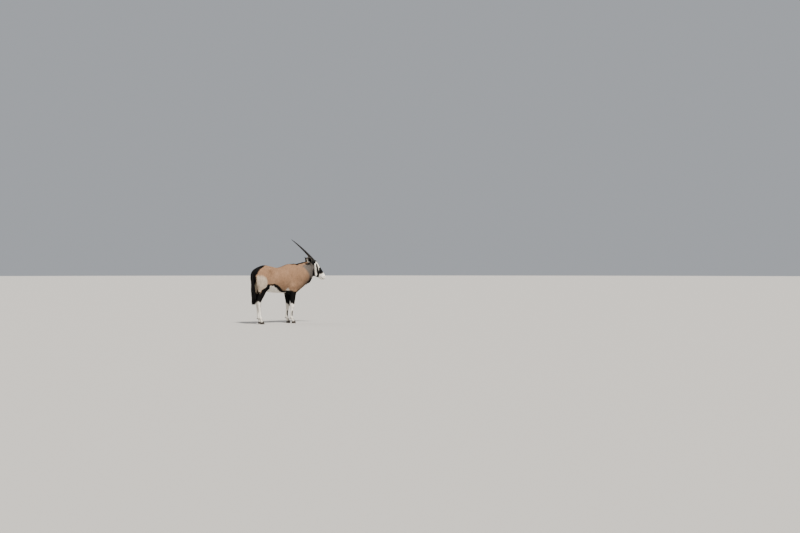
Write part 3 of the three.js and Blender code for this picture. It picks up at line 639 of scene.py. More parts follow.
def almond_reach(points, centre, sign):
    """Where a point lies in the eye's opening: 0 in its middle, 1 on the lids' rim."""
    outward, lengthwise, across = eye_ways(sign)
    offset = points - centre
    x = offset @ lengthwise / ALMOND["length"]
    y = offset @ across / (ALMOND["height"] * np.clip(1.12 - 0.55 * np.abs(x) ** 2, 0.35, 2))
    return np.where(offset @ outward > 0, np.hypot(x, y), 9.0), offset


for side, sign in SIDES.items():
    reach, offset = almond_reach(fine_points, eyes[side], sign)
    distance = np.linalg.norm(offset, axis=1)
    way = offset / np.maximum(distance, 1e-6)[:, None]
    lid_top = EYE_RADIUS + LID * np.exp(-((reach - 1.22) / 0.24) ** 2) + 0.0002
    hold = np.clip((2.6 - reach) / 1.2, 0, 1)
    lidded = distance + (np.maximum(distance, lid_top) - distance) * hold
    inside = np.clip((1.0 - reach) / 0.16, 0, 1)
    target = lidded * (1 - inside) + (EYE_RADIUS - 0.004) * inside
    near = (reach < 2.6) & (distance < 0.05)
    fine_points[near] = (eyes[side] + way * target[:, None])[near]
set_points(skin.data, fine_points)
skin_normals = normals_of(skin.data)
print("skin box", fine_points.min(0), fine_points.max(0))

# %% [markdown]
# ## The markings, as functions of the place
# Skin and coat must carry the same markings, so both ask one function for the colour at a place.
# Each marking is a soft-edged mask in the body's or the head's own measures, and a little noise
# makes its edge ragged, as hair does. Later masks are painted over earlier ones.

# %% Tools for the markings
FAWN = np.array([0.285, 0.166, 0.096])
PALE_FAWN = np.array([0.370, 0.236, 0.148])
GREY_FAWN = np.array([0.135, 0.100, 0.078])
JOWL_GREY = np.array([0.120, 0.104, 0.092])
BLACK = np.array([0.005, 0.0045, 0.0045])
BROWN_BLACK = np.array([0.019, 0.012, 0.009])
WHITE = np.array([0.900, 0.850, 0.765])
CREAM = np.array([0.540, 0.450, 0.345])
DARKEST = 0.003
PALEST = 0.95


TURN = 2 * math.pi
WAVES = 6
WAVES_SUM = 3.2


def ragged(points, size, seed):
    """Smooth noise between about -1 and 1, from a few crossed waves."""
    draw = np.random.default_rng(seed)
    total = np.zeros(len(points))
    for wave in range(WAVES):
        way = unit(draw.normal(size=3)) * (TURN / (size * draw.uniform(0.6, 1.6)))
        total += np.sin(points @ way + draw.uniform(0, TURN))
    return total / WAVES_SUM


def ramp(value, start, end):
    share = np.clip((value - start) / (end - start), 0, 1)
    return share * share * (3 - 2 * share)


def band(value, low, high, soft):
    return ramp(value, low - soft, low + soft) * ramp(-value, -high - soft, -high + soft)


def paint(colours, colour, mask):
    return colours + (colour - colours) * mask[:, None]


def from_table(value, table):
    """The second column of a table at a value of the first, in straight lines between the rows."""
    return np.interp(value, *np.array(table).T)


sample = ragged(fine_points, 0.20, 5)
print("noise from", sample.min(), "to", sample.max())

# %% [markdown]
# ## Body markings
# The back and sides are fawn, paler low down. A black patch on the croup runs into the tail, a
# black stripe parts the flank from the white belly, the throat has a black line, and the
# upper legs are black above white shanks.

# %% Body markings
FLANK_STRIPE = [(-0.285, 0.782), (-0.266, 0.787), (-0.179, 0.788), (-0.102, 0.786), (-0.022, 0.745),
                (0.055, 0.690), (0.132, 0.652), (0.207, 0.655), (0.300, 0.640)]
STRIPE_WIDTH = [(-0.27, 0.016), (-0.18, 0.011), (-0.12, 0.019), (-0.09, 0.026), (-0.02, 0.030),
                (0.055, 0.027), (0.132, 0.018), (0.22, 0.022), (0.30, 0.034)]
CROUP_PATCH = [(-0.58, 0.100), (-0.50, 0.130), (-0.46, 0.135), (-0.38, 0.115), (-0.30, 0.085), (-0.24, 0.030),
               (-0.19, 0.0)]


def body_markings(points):
    forward, left, height = body_places(points)
    edge = ragged(points, 0.035, 3) * 0.006
    broad = ragged(points, 0.20, 5)
    side = np.abs(left)
    low = ramp(-height, -1.02, -0.72)
    colours = FAWN + (PALE_FAWN - FAWN) * (0.35 * low + 0.16 * broad)[:, None].clip(0, 1)
    colours = paint(colours, GREY_FAWN, 0.25 * band(forward, 0.45, 1.0, 0.1) * ramp(-height, -1.0, -0.8))

    from_stripe = polyline_distance(forward, height + edge, FLANK_STRIPE)[0]
    stripe_height = from_table(forward, FLANK_STRIPE)
    on_trunk = band(forward, -0.33, 0.240, 0.020)
    belly = ramp(stripe_height - height - edge, 0.012, 0.030) * on_trunk
    colours = paint(colours, WHITE, belly)
    colours = paint(colours, PALE_FAWN, 0.6 * ramp(from_stripe, 0.085, 0.035) * (height > stripe_height))
    half_stripe = from_table(forward, STRIPE_WIDTH)
    colours = paint(colours, BLACK, ramp(half_stripe - from_stripe + edge * 0.5, -0.006, 0.006))
    chest = ramp(forward, 0.225, 0.250) * ramp(stripe_height - height, -0.020, 0.0) * (forward < 0.50)
    colours = paint(colours, BLACK, chest)
    elbow_patch = np.hypot((forward - 0.222) / (0.060 - (height - 0.66) * 0.70), (height - 0.680) / 0.050)
    elbow_white = ramp(-elbow_patch - edge * 20, -1.25, -0.30) * (side > 0.10)
    elbow_white = elbow_white * ramp(height - stripe_height, 0.010, 0.030)
    colours = paint(colours, WHITE, 0.75 * elbow_white)

    dorsal = ramp(-side, -0.020, -0.008) * ramp(-forward, -0.42, -0.30) * (height > 1.05)
    colours = paint(colours, BROWN_BLACK, 0.9 * dorsal)
    croup_width = from_table(forward, CROUP_PATCH)
    croup_width = croup_width * ramp(height, 0.88, 1.02) + 0.045 * ramp(-height, -1.02, -0.88)
    croup = ramp(croup_width - side - edge, -0.008, 0.008) * ramp(height, 0.70, 0.74) * (forward < -0.15)
    return paint(colours, BLACK, croup)


print("places of the flank stripe", len(FLANK_STRIPE))

# %% [markdown]
# ## Neck markings
# The black line of the throat follows the underside of the neck, and a thin dark line its crest. The
# neck bends with the head, so both masks ask how far a place lies aside of a bent line through the
# neck's middle, and whether it lies under or over it.

# %% Neck markings
NECK_LINE = np.array([at(0.400, 0, 0.930), at(0.537, -0.010, 0.960), at(0.664, -0.050, 1.030),
                      at(0.745, -0.092, 1.110), at(0.800, -0.125, 1.180)])


def dot(a, b):
    return np.einsum("ij,ij->i", a, b)


def neck_frame(points):
    """For each point the neck's own way along, and how far aside and above its line it lies."""
    best = np.full(len(points), np.inf)
    along = np.zeros((len(points), 3))
    offset = np.zeros((len(points), 3))
    for start, part in zip(NECK_LINE[:-1], np.diff(NECK_LINE, axis=0)):
        t = np.clip((points - start) @ part / (part @ part), 0, 1)
        gap = points - start - t[:, None] * part
        far = np.linalg.norm(gap, axis=1)
        closer = far < best
        best = np.where(closer, far, best)
        along[closer] = unit(part)
        offset[closer] = gap[closer]
    across = unit(np.cross(along, UP))
    upward = np.cross(across, along)
    return along, dot(offset, across), dot(offset, upward)


def neck_markings(points, colours):
    forward, _, height = body_places(points)
    _, aside, rise = neck_frame(points)
    edge = ragged(points, 0.03, 8) * 0.005
    on_neck = ramp(forward, 0.38, 0.46)
    below = (rise < 0) | (height < 0.80)
    grey = ramp(-np.abs(aside), -0.110, -0.050) * ramp(-rise, -0.02, 0.10)
    grey = grey * on_neck * ramp(height, 0.72, 0.92)
    colours = paint(colours, GREY_FAWN, 0.85 * grey)
    wide = 0.030 + 0.022 * ramp(height, 0.78, 0.92)
    stripe = ramp(wide - np.abs(aside) - edge, -0.024, 0.010) * below * on_neck
    colours = paint(colours, BLACK, stripe)
    crest = ramp(-(np.abs(aside) + edge), -0.020, -0.010) * (rise > 0) * on_neck
    return paint(colours, BROWN_BLACK, crest)


print("the neck's line is", np.linalg.norm(np.diff(NECK_LINE, axis=0), axis=1).sum(), "m long")

# %% [markdown]
# ## Leg markings
# The upper legs are black above white shanks, with a dark patch on the front of each shank and
# pastern. On the thigh a pale cream field lies between a black front edge and a black rear band,
# which is partly the leg's own black and partly painted shade on its rear side. The bands go by
# height and by how far forward of the limb's middle a place lies, so they tilt with each leg.

# %% Leg markings
CREAM_FRONT = [(0.50, -0.440), (0.56, -0.430), (0.60, -0.424), (0.66, -0.408), (0.69, -0.392),
               (0.715, -0.345), (0.75, -0.295), (0.80, -0.272), (0.86, -0.268), (0.92, -0.285)]
REAR_EDGE = [(0.450, -0.392), (0.550, -0.405), (0.567, -0.416), (0.668, -0.446), (0.794, -0.478),
             (0.920, -0.484), (0.980, -0.490)]
CREAM_TOP = [(-0.52, 0.985), (-0.42, 0.985), (-0.34, 0.965), (-0.26, 0.905), (-0.22, 0.850)]
LEFT_THIGH_AHEAD = 0.065
RIGHT_ARM_END = (0.40, 0.25)
LEFT_ARM_END = (0.37, 0.90)


def leg_markings(points, colours):
    forward, left, height = body_places(points)
    edge = ragged(points, 0.03, 11) * 0.010
    croup = ramp(from_table(forward, CROUP_PATCH) - np.abs(left), -0.008, 0.008) * (height > 0.88)
    for leg in LEGS:
        sign = side_of(leg)
        own = (left * sign > 0) & (height < 0.95)
        front = forward - limb_forward(leg, height)
        if "fore" in leg:
            own = own & (np.abs(front) < 0.16) & (height < 0.70)
            lower, slope = RIGHT_ARM_END if sign < 0 else LEFT_ARM_END
            slanted = height + edge + front * slope
            colours = paint(colours, WHITE, own * ramp(-slanted, -lower - 0.02, -lower))
            black = band(slanted, lower, 0.635 + front * (slope + 0.4), 0.012)
            colours = paint(colours, BLACK, own * black)
            blotch = band(height, 0.150, 0.262, 0.02) * ramp(front, -0.020, -0.008)
            colours = paint(colours, BROWN_BLACK, own * 0.92 * blotch)
        else:
            own = own & (forward < -0.14) & (height < 0.92)
            white = own * ramp(-height - edge - front * 0.6, -0.475, -0.450)
            colours = paint(colours, WHITE, white)
            outer = np.maximum(ramp(np.abs(left), 0.07, 0.10), ramp(-height, -0.84, -0.78))
            leg_ahead = LEFT_THIGH_AHEAD * (sign > 0) * ramp(-height, -0.80, -0.60)
            cream_front = from_table(height, CREAM_FRONT) + leg_ahead
            upper = own * band(height + edge, 0.445, 0.795, 0.012) * ramp(-forward, 0.185, 0.205)
            black = upper * ramp(forward - cream_front + edge, -0.008, 0.012)
            # Behind the rear edge the leg is painted black: partly its own black, partly painted shade on its
            # rear side.
            rear_edge = from_table(height, REAR_EDGE) + leg_ahead
            rear = ramp(rear_edge - forward + edge * 0.5, -0.006, 0.006) * band(height, 0.455, 0.990, 0.02)
            rear = rear * (left * sign > 0)
            cream_top = from_table(forward, CREAM_TOP) + edge
            cream = (left * sign > 0) * (forward < -0.14) * ramp(cream_top - height, -0.020, 0.045)
            cream = cream * (1 - ramp(forward - cream_front, -0.014, 0.014)) * ramp(height, 0.54, 0.60)
            colours = paint(colours, CREAM, 0.85 * cream * outer * (1 - croup))
            colours = paint(colours, BLACK, black)
            colours = paint(colours, BLACK, rear)
            colours = paint(colours, BLACK, own * band(height + front * 0.6, 0.462, 0.580, 0.012))
            thin = own * band(height, 0.150, 0.430, 0.03) * ramp(-np.abs(front - 0.018), -0.008, -0.003)
            colours = paint(colours, BROWN_BLACK, 0.75 * thin)
        colours = paint(colours, BROWN_BLACK, own * ramp(-height, -0.044, -0.036))
        pastern = own * band(height, 0.058, 0.105, 0.008) * ramp(front, 0.004, 0.020)
        colours = paint(colours, BROWN_BLACK, 0.7 * pastern)
    return colours


print("middles of the legs at", {leg: middles[0].round(3).tolist() for leg, middles in leg_middles.items()})

# %% [markdown]
# ## Face markings
# The mask of a gemsbok is black and white: a black patch on the forehead joined to one on the nose,
# a black stripe from each eye down the cheek to the jaw, white between them and on the muzzle. Each
# stripe is a line in the head's side view with a half width.

# %% Face markings
CHEEK_STRIPE = [(0.078, 0.058), (0.120, 0.028), (0.175, -0.008), (0.225, -0.044), (0.262, -0.074)]
EYE_STRIPE = [(0.095, 0.080), (0.129, 0.062), (0.180, 0.032), (0.232, 0.002), (0.275, -0.026),
              (0.300, -0.060)]
BROW_STRIPE = [(0.070, 0.094), (0.110, 0.086), (0.173, 0.066), (0.225, 0.038), (0.256, 0.018)]
JAW_LINE = [(0.125, -0.026), (0.160, -0.060), (0.203, -0.092), (0.245, -0.116), (0.300, -0.095)]
EAR_LINE = [(-0.050, 0.060), (-0.030, 0.020), (0.000, -0.055)]
NOSE_PATCH = [(0.06, 0.044), (0.10, 0.026), (0.16, 0.018), (0.195, 0.030), (0.240, 0.060),
              (0.300, 0.060), (0.322, 0.034)]
NOSE_DEPTH = [(0.185, 0.068), (0.215, 0.040), (0.250, 0.008), (0.285, -0.004), (0.318, 0.026)]


def stripe(along, brow, line, start_width, end_width, edge):
    gap, share = polyline_distance(along, brow, line)
    return ramp(start_width + (end_width - start_width) * share - gap - edge, -0.003, 0.003)


print("lines of the mask", len([CHEEK_STRIPE, EYE_STRIPE, BROW_STRIPE, JAW_LINE, EAR_LINE]))

# %% [markdown]
# The layers go on from the jowl forward: grey and black behind, then the white fields, the black
# stripes over them, the patch of the nose, and last the rims of the eyes and nostrils, the nose pad
# and the line of the mouth. The nostrils' black also stands for painted shade in their pits, and the
# mouth's line is dark lip skin with painted shade in its groove.

# %% Paint the head
def head_markings(points, normals, colours):
    along, left, brow = head_places(points)
    edge = ragged(points, 0.018, 21) * 0.0032
    side = np.abs(left)
    in_reach = near_head(points, -0.10, 0.20)
    reach = ramp(0.20 - np.hypot(left, brow + 0.02), 0, 0.05) * ramp(along + 0.10, 0, 0.06)
    on_jowl = ramp(along - 0.30 * (brow + 0.05), -0.085, 0.005) * reach
    colours = paint(colours, JOWL_GREY, on_jowl)
    crown = band(along, -0.075, 0.075, 0.015) * ramp(brow, -0.005, 0.025) * reach
    colours = paint(colours, BLACK, crown)

    beside = side > 0.012
    colours = paint(colours, BLACK, stripe(along, brow, JAW_LINE, 0.006, 0.036, edge) * in_reach)
    colours = paint(colours, WHITE, stripe(along, brow, CHEEK_STRIPE, 0.0125, 0.020, edge) * in_reach)
    front_white = ramp(along, 0.120, 0.135) * ramp(brow + 0.62 * (along - 0.129), 0.055, 0.066)
    colours = paint(colours, WHITE, front_white * in_reach * ramp(along, 0.05, 0.07))
    colours = paint(colours, WHITE, stripe(along, brow, BROW_STRIPE, 0.016, 0.017, edge) * beside * in_reach)
    muzzle = ramp(along + 0.30 * (brow - 0.01), 0.292, 0.302)
    colours = paint(colours, WHITE, muzzle * in_reach)
    colours = paint(colours, BLACK, stripe(along, brow, EYE_STRIPE, 0.0125, 0.0240, edge) * beside * in_reach)
    under = ramp(-normals @ BROWWARD, 0.45, 0.70) * band(along, 0.15, 0.318, 0.012)
    colours = paint(colours, BLACK, under * in_reach)

    top = from_table(along, NOSE_PATCH)
    ridge = ramp(top - side - edge, -0.004, 0.004) * (brow > 0.035) * band(along, 0.050, 0.318, 0.007)
    colours = paint(colours, BLACK, ridge * in_reach)
    reach_down = from_table(along, NOSE_DEPTH)
    nose_side = band(along, 0.190, 0.316, 0.006) * ramp(brow - reach_down + edge, -0.004, 0.004)
    colours = paint(colours, BLACK, nose_side * in_reach)
    forehead = np.hypot((along - 0.055) / 0.050, side / 0.048)
    colours = paint(colours, BLACK, ramp(-forehead, -1.1, -0.9) * (brow > 0.06) * in_reach)
    behind_ear = stripe(along, brow, EAR_LINE, 0.014, 0.010, edge) * (side > 0.040)
    colours = paint(colours, BLACK, behind_ear * in_reach)

    for name, centre in eyes.items():
        reach, offset = almond_reach(points, centre, SIDES[name])
        near_eye = np.linalg.norm(offset, axis=1) < 0.045
        colours = paint(colours, BLACK, near_eye * ramp(-reach, -1.75, -1.45))
    # Each nostril is painted black: its dark rim, and painted shade in its sunken pit.
    for sign in SIDES.values():
        pit = np.linalg.norm(points - nostril_centre(sign), axis=1)
        colours = paint(colours, BLACK, ramp(-pit, -0.0190, -0.0120))
    pad = np.hypot(side / 0.013, (brow - 0.014) / 0.021) + edge * 60
    colours = paint(colours, BROWN_BLACK, ramp(-pad, -1.15, -0.75) * ramp(along, 0.385, 0.400))
    # The mouth's line is dark lip skin with painted shade in the groove between the lips.
    mouth_gap, mouth_share = polyline_distance(along, brow, MOUTH)
    line = ramp(-mouth_gap, -0.0046, -0.0018) * (along > 0.29) * ramp(-mouth_share, -1.0, -0.9)
    return paint(colours, BROWN_BLACK, line * in_reach)


def markings(points, normals):
    colours = neck_markings(points, body_markings(points))
    colours = leg_markings(points, colours)
    return head_markings(points, normals, colours).clip(DARKEST, PALEST)


skin_colours = markings(fine_points, skin_normals)
print("colours for", len(skin_colours), "points of skin")

# %% [markdown]
# ## Materials
# The coat's colour comes from the markings, stored on the mesh, and the shader adds what hair adds:
# a dull surface with hardly any shine, a little uneven tone and, on the skin, a fine grain. Shiny
# hair would whiten the black bands, so the shine is kept low.

# %% Materials
COAT_ROUGHNESS = 0.75
COAT_SHINE = 0.08
TONE_SCALE = 38
GRAIN_SCALE = 420


def add_node(material, kind, **values):
    """A node of a material with its own sockets set; in a socket's name _ stands for a space."""
    node = material.node_tree.nodes.new(kind)
    for socket, value in values.items():
        node.inputs[socket.replace("_", " ")].default_value = value
    return node


def coat_material(name, grain):
    material, shader = new_material(name, COAT_ROUGHNESS)
    shader.inputs["Specular IOR Level"].default_value = COAT_SHINE
    links = material.node_tree.links
    colour = add_node(material, "ShaderNodeAttribute")
    colour.attribute_name = "marking"
    place = add_node(material, "ShaderNodeTexCoord")
    noise = add_node(material, "ShaderNodeTexNoise", Scale=TONE_SCALE, Detail=4)
    links.new(place.outputs["Object"], noise.inputs["Vector"])
    tone = add_node(material, "ShaderNodeMapRange", From_Min=0.3, From_Max=0.7, To_Min=0.80, To_Max=1.14)
    links.new(noise.outputs["Fac"], tone.inputs["Value"])
    mix = add_node(material, "ShaderNodeVectorMath")
    mix.operation = "SCALE"
    links.new(colour.outputs["Color"], mix.inputs[0])
    links.new(tone.outputs["Result"], mix.inputs["Scale"])
    links.new(mix.outputs["Vector"], shader.inputs["Base Color"])
    if grain:
        hair = add_node(material, "ShaderNodeTexNoise", Scale=GRAIN_SCALE, Detail=3)
        links.new(place.outputs["Object"], hair.inputs["Vector"])
        bump = add_node(material, "ShaderNodeBump", Strength=0.6, Distance=0.002)
        links.new(hair.outputs["Fac"], bump.inputs["Height"])
        links.new(bump.outputs["Normal"], shader.inputs["Normal"])
    return material


HIDE = coat_material("hide with short hair", grain=True)
HAIR = coat_material("coat hair", grain=False)
print("materials", HIDE.name, HAIR.name)

# %% [markdown]
# ## Dressing the skin
# Each piece carries its markings as one colour a vertex. The same few lines then give every piece its
# material and its body and, where it stands for solids, hide their nodes, so one helper holds them.

# %% Dress the skin
def set_colours(thing, colours):
    layer = thing.data.color_attributes.new("marking", "FLOAT_COLOR", "POINT")
    full = np.ones((len(colours), 4), dtype=np.float32)
    full[:, :3] = colours
    layer.data.foreach_set("color", full.ravel())


def smooth(thing):
    thing.data.polygons.foreach_set("use_smooth", np.ones(len(thing.data.polygons), dtype=bool))
    thing.data.update()


def dress(thing, material, slot, *stood_for):
    thing.data.materials.append(material)
    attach(thing, "root")
    if stood_for:
        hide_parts(*stood_for)


set_colours(skin, skin_colours)
smooth(skin)
dress(skin, HIDE, "fawn_coat", "torso", "neck", "head", *LEGS)
print("the skin stands for", ["torso", "neck", "head"] + LEGS)

# %% [markdown]
# ## Which way the hair lies
# Hair lies away from the nose: up the face, back along the neck and the body, and down the legs.
# The lie is a direction at each place, blended from those four, then laid flat on the skin.

# %% The lie of the coat
def lie_of_hair(points, normals):
    forward, _, height = body_places(points)
    along = neck_frame(points)[0]
    on_leg = ramp(-height, -0.72, -0.60)[:, None]
    on_neck = ramp(forward, 0.40, 0.55)[:, None]
    on_face = near_head(points, -0.03, 0.19)[:, None]
    lie = np.broadcast_to(-AHEAD - 0.35 * UP, points.shape)
    lie = lie * (1 - on_neck) + (-along - 0.25 * UP) * on_neck
    lie = lie * (1 - on_leg) + (-UP - 0.15 * AHEAD) * on_leg
    lie = np.where(on_face, -NOSEWARD - 0.12 * BROWWARD, lie)
    lie = lie - normals * dot(lie, normals)[:, None]
    return unit(lie)


print("steepest fall of the coat", lie_of_hair(fine_points, skin_normals)[:, 2].min())

# %% [markdown]
# ## Sowing tufts
# A tuft is a thin keeled wedge of four triangles: two points at its root, a raised point in the
# middle and one at the tip. The roots are sown over the skin by area with a seeded draw, closer
# together and smaller on the face and the feet, where the real coat is shortest.

# %% Sow the roots
skin_triangles = triangles_of(skin.data)
triangle_corners = fine_points[skin_triangles]
triangle_areas = np.linalg.norm(np.cross(triangle_corners[:, 1] - triangle_corners[:, 0],
                                         triangle_corners[:, 2] - triangle_corners[:, 0]), axis=1) / 2
triangle_centres = triangle_corners.mean(axis=1)


def sow(chosen, spacing, seed):
    """Random places on the chosen triangles, one for each square of the given spacing."""
    draw = np.random.default_rng(seed)
    weights = triangle_areas * chosen
    count = int(weights.sum() / spacing ** 2)
    picked = draw.choice(len(weights), size=count, p=weights / weights.sum())
    a, b = draw.random((2, count, 1))
    a, b = np.where(a + b > 1, 1 - a, a), np.where(a + b > 1, 1 - b, b)
    corner = skin_triangles[picked]
    share = [1 - a - b, a, b]
    points = sum(fine_points[corner[:, i]] * share[i] for i in range(3))
    ways = unit(sum(skin_normals[corner[:, i]] * share[i] for i in range(3)))
    return points, ways, draw


print("area of the skin", triangle_areas.sum(), "square metres")

# %% [markdown]
# ## Where a tuft's colours go on the bake map
# A map is laid for baking the colours to an image. A tuft is far too small for a place of its own,
# so each takes a tiny patch at its root's place on an unwrap of the body: round the trunk, the neck,
# the head or a leg, and along it.

# %% The unwrap
PATCH = 0.003
LEG_SPREAD = 0.110


def turn_share(aside, ahead):
    return np.arctan2(aside, ahead) / TURN + 0.5


def unwrap(points, region):
    """Where each point lies round and along its region, both from 0 to 1."""
    forward, left, height = body_places(points)
    if region == "head":
        along, aside, brow = head_places(points)
        return turn_share(aside, brow + 0.02), (along + 0.10) / 0.56
    if region == "neck":
        _, aside, rise = neck_frame(points)
        return turn_share(aside, rise), (forward - 0.35) / 0.55
    if region == "trunk":
        return turn_share(left, height - 0.90), (forward + 0.62) / 1.15
    if region == "tail":
        return turn_share(left, forward + 0.515), (height - 0.40) / 0.70
    column = np.where(left > 0, 0.5, 0.0)
    middle_left = np.where(left > 0, LEG_SPREAD, -LEG_SPREAD)
    right_leg, left_leg = [leg for leg in LEGS if region in leg]
    middle_forward = np.where(left > 0, limb_forward(left_leg, height), limb_forward(right_leg, height))
    turn = turn_share(left - middle_left, forward - middle_forward)
    return column + turn * 0.48 + 0.01, height / 0.85


def bake_map(thing, roots, region, local, faces):
    """Each corner of each face gets its tuft's place plus a small step for where it lies on the tuft."""
    uv = thing.data.uv_layers.new(name="OFBake")
    places = np.stack(unwrap(roots, region), 1)
    both = (places[:, None, :] + np.array(local)[None] * PATCH).clip(0, 1)
    uv.data.foreach_set("uv", both.reshape(-1, 2)[faces.ravel()].astype(np.float32).ravel())


print("one patch of", PATCH, "for each tuft")

# %% [markdown]
# ## Laying the coat
# Each region gets its own length and width of hair. The colours are asked from the markings at the
# root, then varied a little from tuft to tuft, darker at the root and paler at the tip. A tuft takes
# its shading from the skin under it, rounded a little across, so that many of them read as one coat.

# %% Lay the coat
ROOT_DEPTH = 0.0012
TUFT_SHADES = np.array([0.90, 0.90, 1.00, 1.06])
TUFT_FACES = np.array([[0, 2, 1], [0, 3, 2], [1, 2, 3], [0, 1, 3]])
TUFT_MAP = [[-0.4, -0.5], [0.4, -0.5], [0.0, 0.0], [0.0, 0.5]]
skin_tree = BVHTree.FromPolygons(fine_points.tolist(), skin_triangles.tolist())


def over_skin(points, heights):
    """The nearest places of the skin, raised off it by the given heights."""
    found = [skin_tree.find_nearest(point)[:2] for point in points.tolist()]
    places = np.array([place for place, way in found])
    ways = np.array([way for place, way in found])
    return places + ways * heights


def repeated(pattern, count, per):
    """The faces of one tuft, numbered on for as many tufts of so many points each."""
    return (np.arange(count)[:, None, None] * per + np.array(pattern)).reshape(-1, 3)


def lay_coat(name, region, chosen, hair, slot, seed):
    spacing, length, width, rise = hair
    roots, normals, draw = sow(chosen, spacing, seed)
    count = len(roots)
    lie = lie_of_hair(roots, normals)
    across = np.cross(normals, lie)
    swing = draw.normal(0, 0.16, (count, 1))
    lie = unit(lie + across * swing)
    across = np.cross(normals, lie)
    long = length * draw.uniform(0.75, 1.2, (count, 1))
    wide = width * draw.uniform(0.8, 1.2, (count, 1)) / 2
    lifted = draw.uniform(0.4, 1.2, (count, 1)) * rise
    sunk = roots - normals * ROOT_DEPTH
    middle = over_skin(roots + lie * long * 0.42, long * lifted * 0.50 + 0.0006)
    tip = over_skin(roots + lie * long, long * lifted * 0.62 + 0.0004)
    points = np.stack([sunk - across * wide, sunk + across * wide, middle, tip], 1).reshape(-1, 3)
    faces = repeated(TUFT_FACES, count, 4)
    thing = mesh_object(name, points, faces)
    smooth(thing)
    facing = np.stack([normals - across * 0.4, normals + across * 0.4, normals, normals + lie * 0.15], 1)
    thing.data.normals_split_custom_set_from_vertices(unit(facing.reshape(-1, 3)).tolist())
    colours = markings(roots, normals) * draw.uniform(0.92, 1.08, (count, 1))
    set_colours(thing, (colours[:, None, :] * TUFT_SHADES[None, :, None]).reshape(-1, 3).clip(0, 1))
    bake_map(thing, roots, region, TUFT_MAP, faces)
    dress(thing, HAIR, slot)
    print(name, count, "tufts")


# %% [markdown]
# ## The regions of the coat
# Hair isn't equally long all over: it is shortest on the muzzle and the shanks. The nose pad, the
# rims of the nostrils and the eyes' openings are bare. Each triangle of the skin goes to one region,
# and each region is sown as a piece of its own, so that none grows too large.

# %% Regions and pieces
NOSTRIL_BARE = 0.013
forward, left, height = body_places(triangle_centres)
head_part = near_head(triangle_centres, -0.02, 0.19)
along_head, left_head, brow_head = head_places(triangle_centres)
bare = (along_head > 0.398) & head_part & (np.abs(left_head) < 0.011) & (brow_head > -0.004)
for side, sign in SIDES.items():
    for shift in (0.0, 0.006, 0.012):
        over_eye = almond_reach(triangle_centres - NOSEWARD * shift, eyes[side], sign)[0] < 1.25
        bare |= over_eye & head_part
    bare |= np.linalg.norm(triangle_centres - nostril_centre(sign), axis=1) < NOSTRIL_BARE
in_hoof = height < 0.052
leg_part = (height < 0.66) & ~in_hoof & (forward < 0.56)
neck_part = (forward > 0.44) & ~head_part & ~leg_part
trunk_part = ~head_part & ~neck_part & ~leg_part & ~in_hoof
muzzle_part = head_part & ~bare & (along_head > 0.26)
face_part = head_part & ~bare & ~muzzle_part
shank_part = leg_part & (height < 0.42)
thigh_part = leg_part & ~shank_part

# Spacing, length, width and rise of the tufts of each part
TRUNK_HAIR = (0.0046, 0.021, 0.0040, 0.10)
NECK_HAIR = (0.0046, 0.022, 0.0040, 0.12)
FACE_HAIR = (0.0036, 0.0110, 0.0024, 0.15)
MUZZLE_HAIR = (0.0028, 0.0065, 0.0016, 0.15)
ARM_HAIR = (0.0044, 0.017, 0.0034, 0.12)
SHANK_HAIR = (0.0040, 0.011, 0.0026, 0.14)

lay_coat("coat_trunk_right", "trunk", trunk_part & (left < 0), TRUNK_HAIR, "fawn_coat", 101)
lay_coat("coat_trunk_left", "trunk", trunk_part & (left >= 0), TRUNK_HAIR, "fawn_coat", 107)
lay_coat("coat_neck", "neck", neck_part, NECK_HAIR, "fawn_coat", 102)
lay_coat("coat_face", "head", face_part, FACE_HAIR, "face_coat", 103)
lay_coat("coat_muzzle", "head", muzzle_part, MUZZLE_HAIR, "face_coat", 104)
for region, chosen, seed in (("fore", forward > 0, 105), ("hind", forward < 0, 106)):
    lay_coat(f"coat_{region}_arms", region, thigh_part & chosen, ARM_HAIR, "leg_coat", seed)
    lay_coat(f"coat_{region}_shanks", region, shank_part & chosen, SHANK_HAIR, "leg_coat", seed + 10)

# %% [markdown]
# ## Locks
# Mane, throat fringe, tail and ear hair are long. A lock is a thin blade that keeps a little
# thickness: a ring of three points moved along a bending path and narrowed to a tip. One helper
# bends and joins many of them at once.

# %% Bend many locks
LOCK_THICKNESS = 0.45
LOCK_ROOT_DEPTH = 0.006


def lock_faces(segments):
    """The triangles of one lock: its sides, its tip and the small face at its root."""
    pattern = []
    for step in range(segments - 1):
        for i in range(3):
            a, b = step * 3 + i, step * 3 + (i + 1) % 3
            pattern += [[a, b + 3, b], [a, a + 3, b + 3]]
    last = (segments - 1) * 3
    tip = last + 3
    pattern += [[last, tip, last + 1], [last + 1, tip, last + 2], [last + 2, tip, last]]
    return pattern + [[0, 1, 2]]


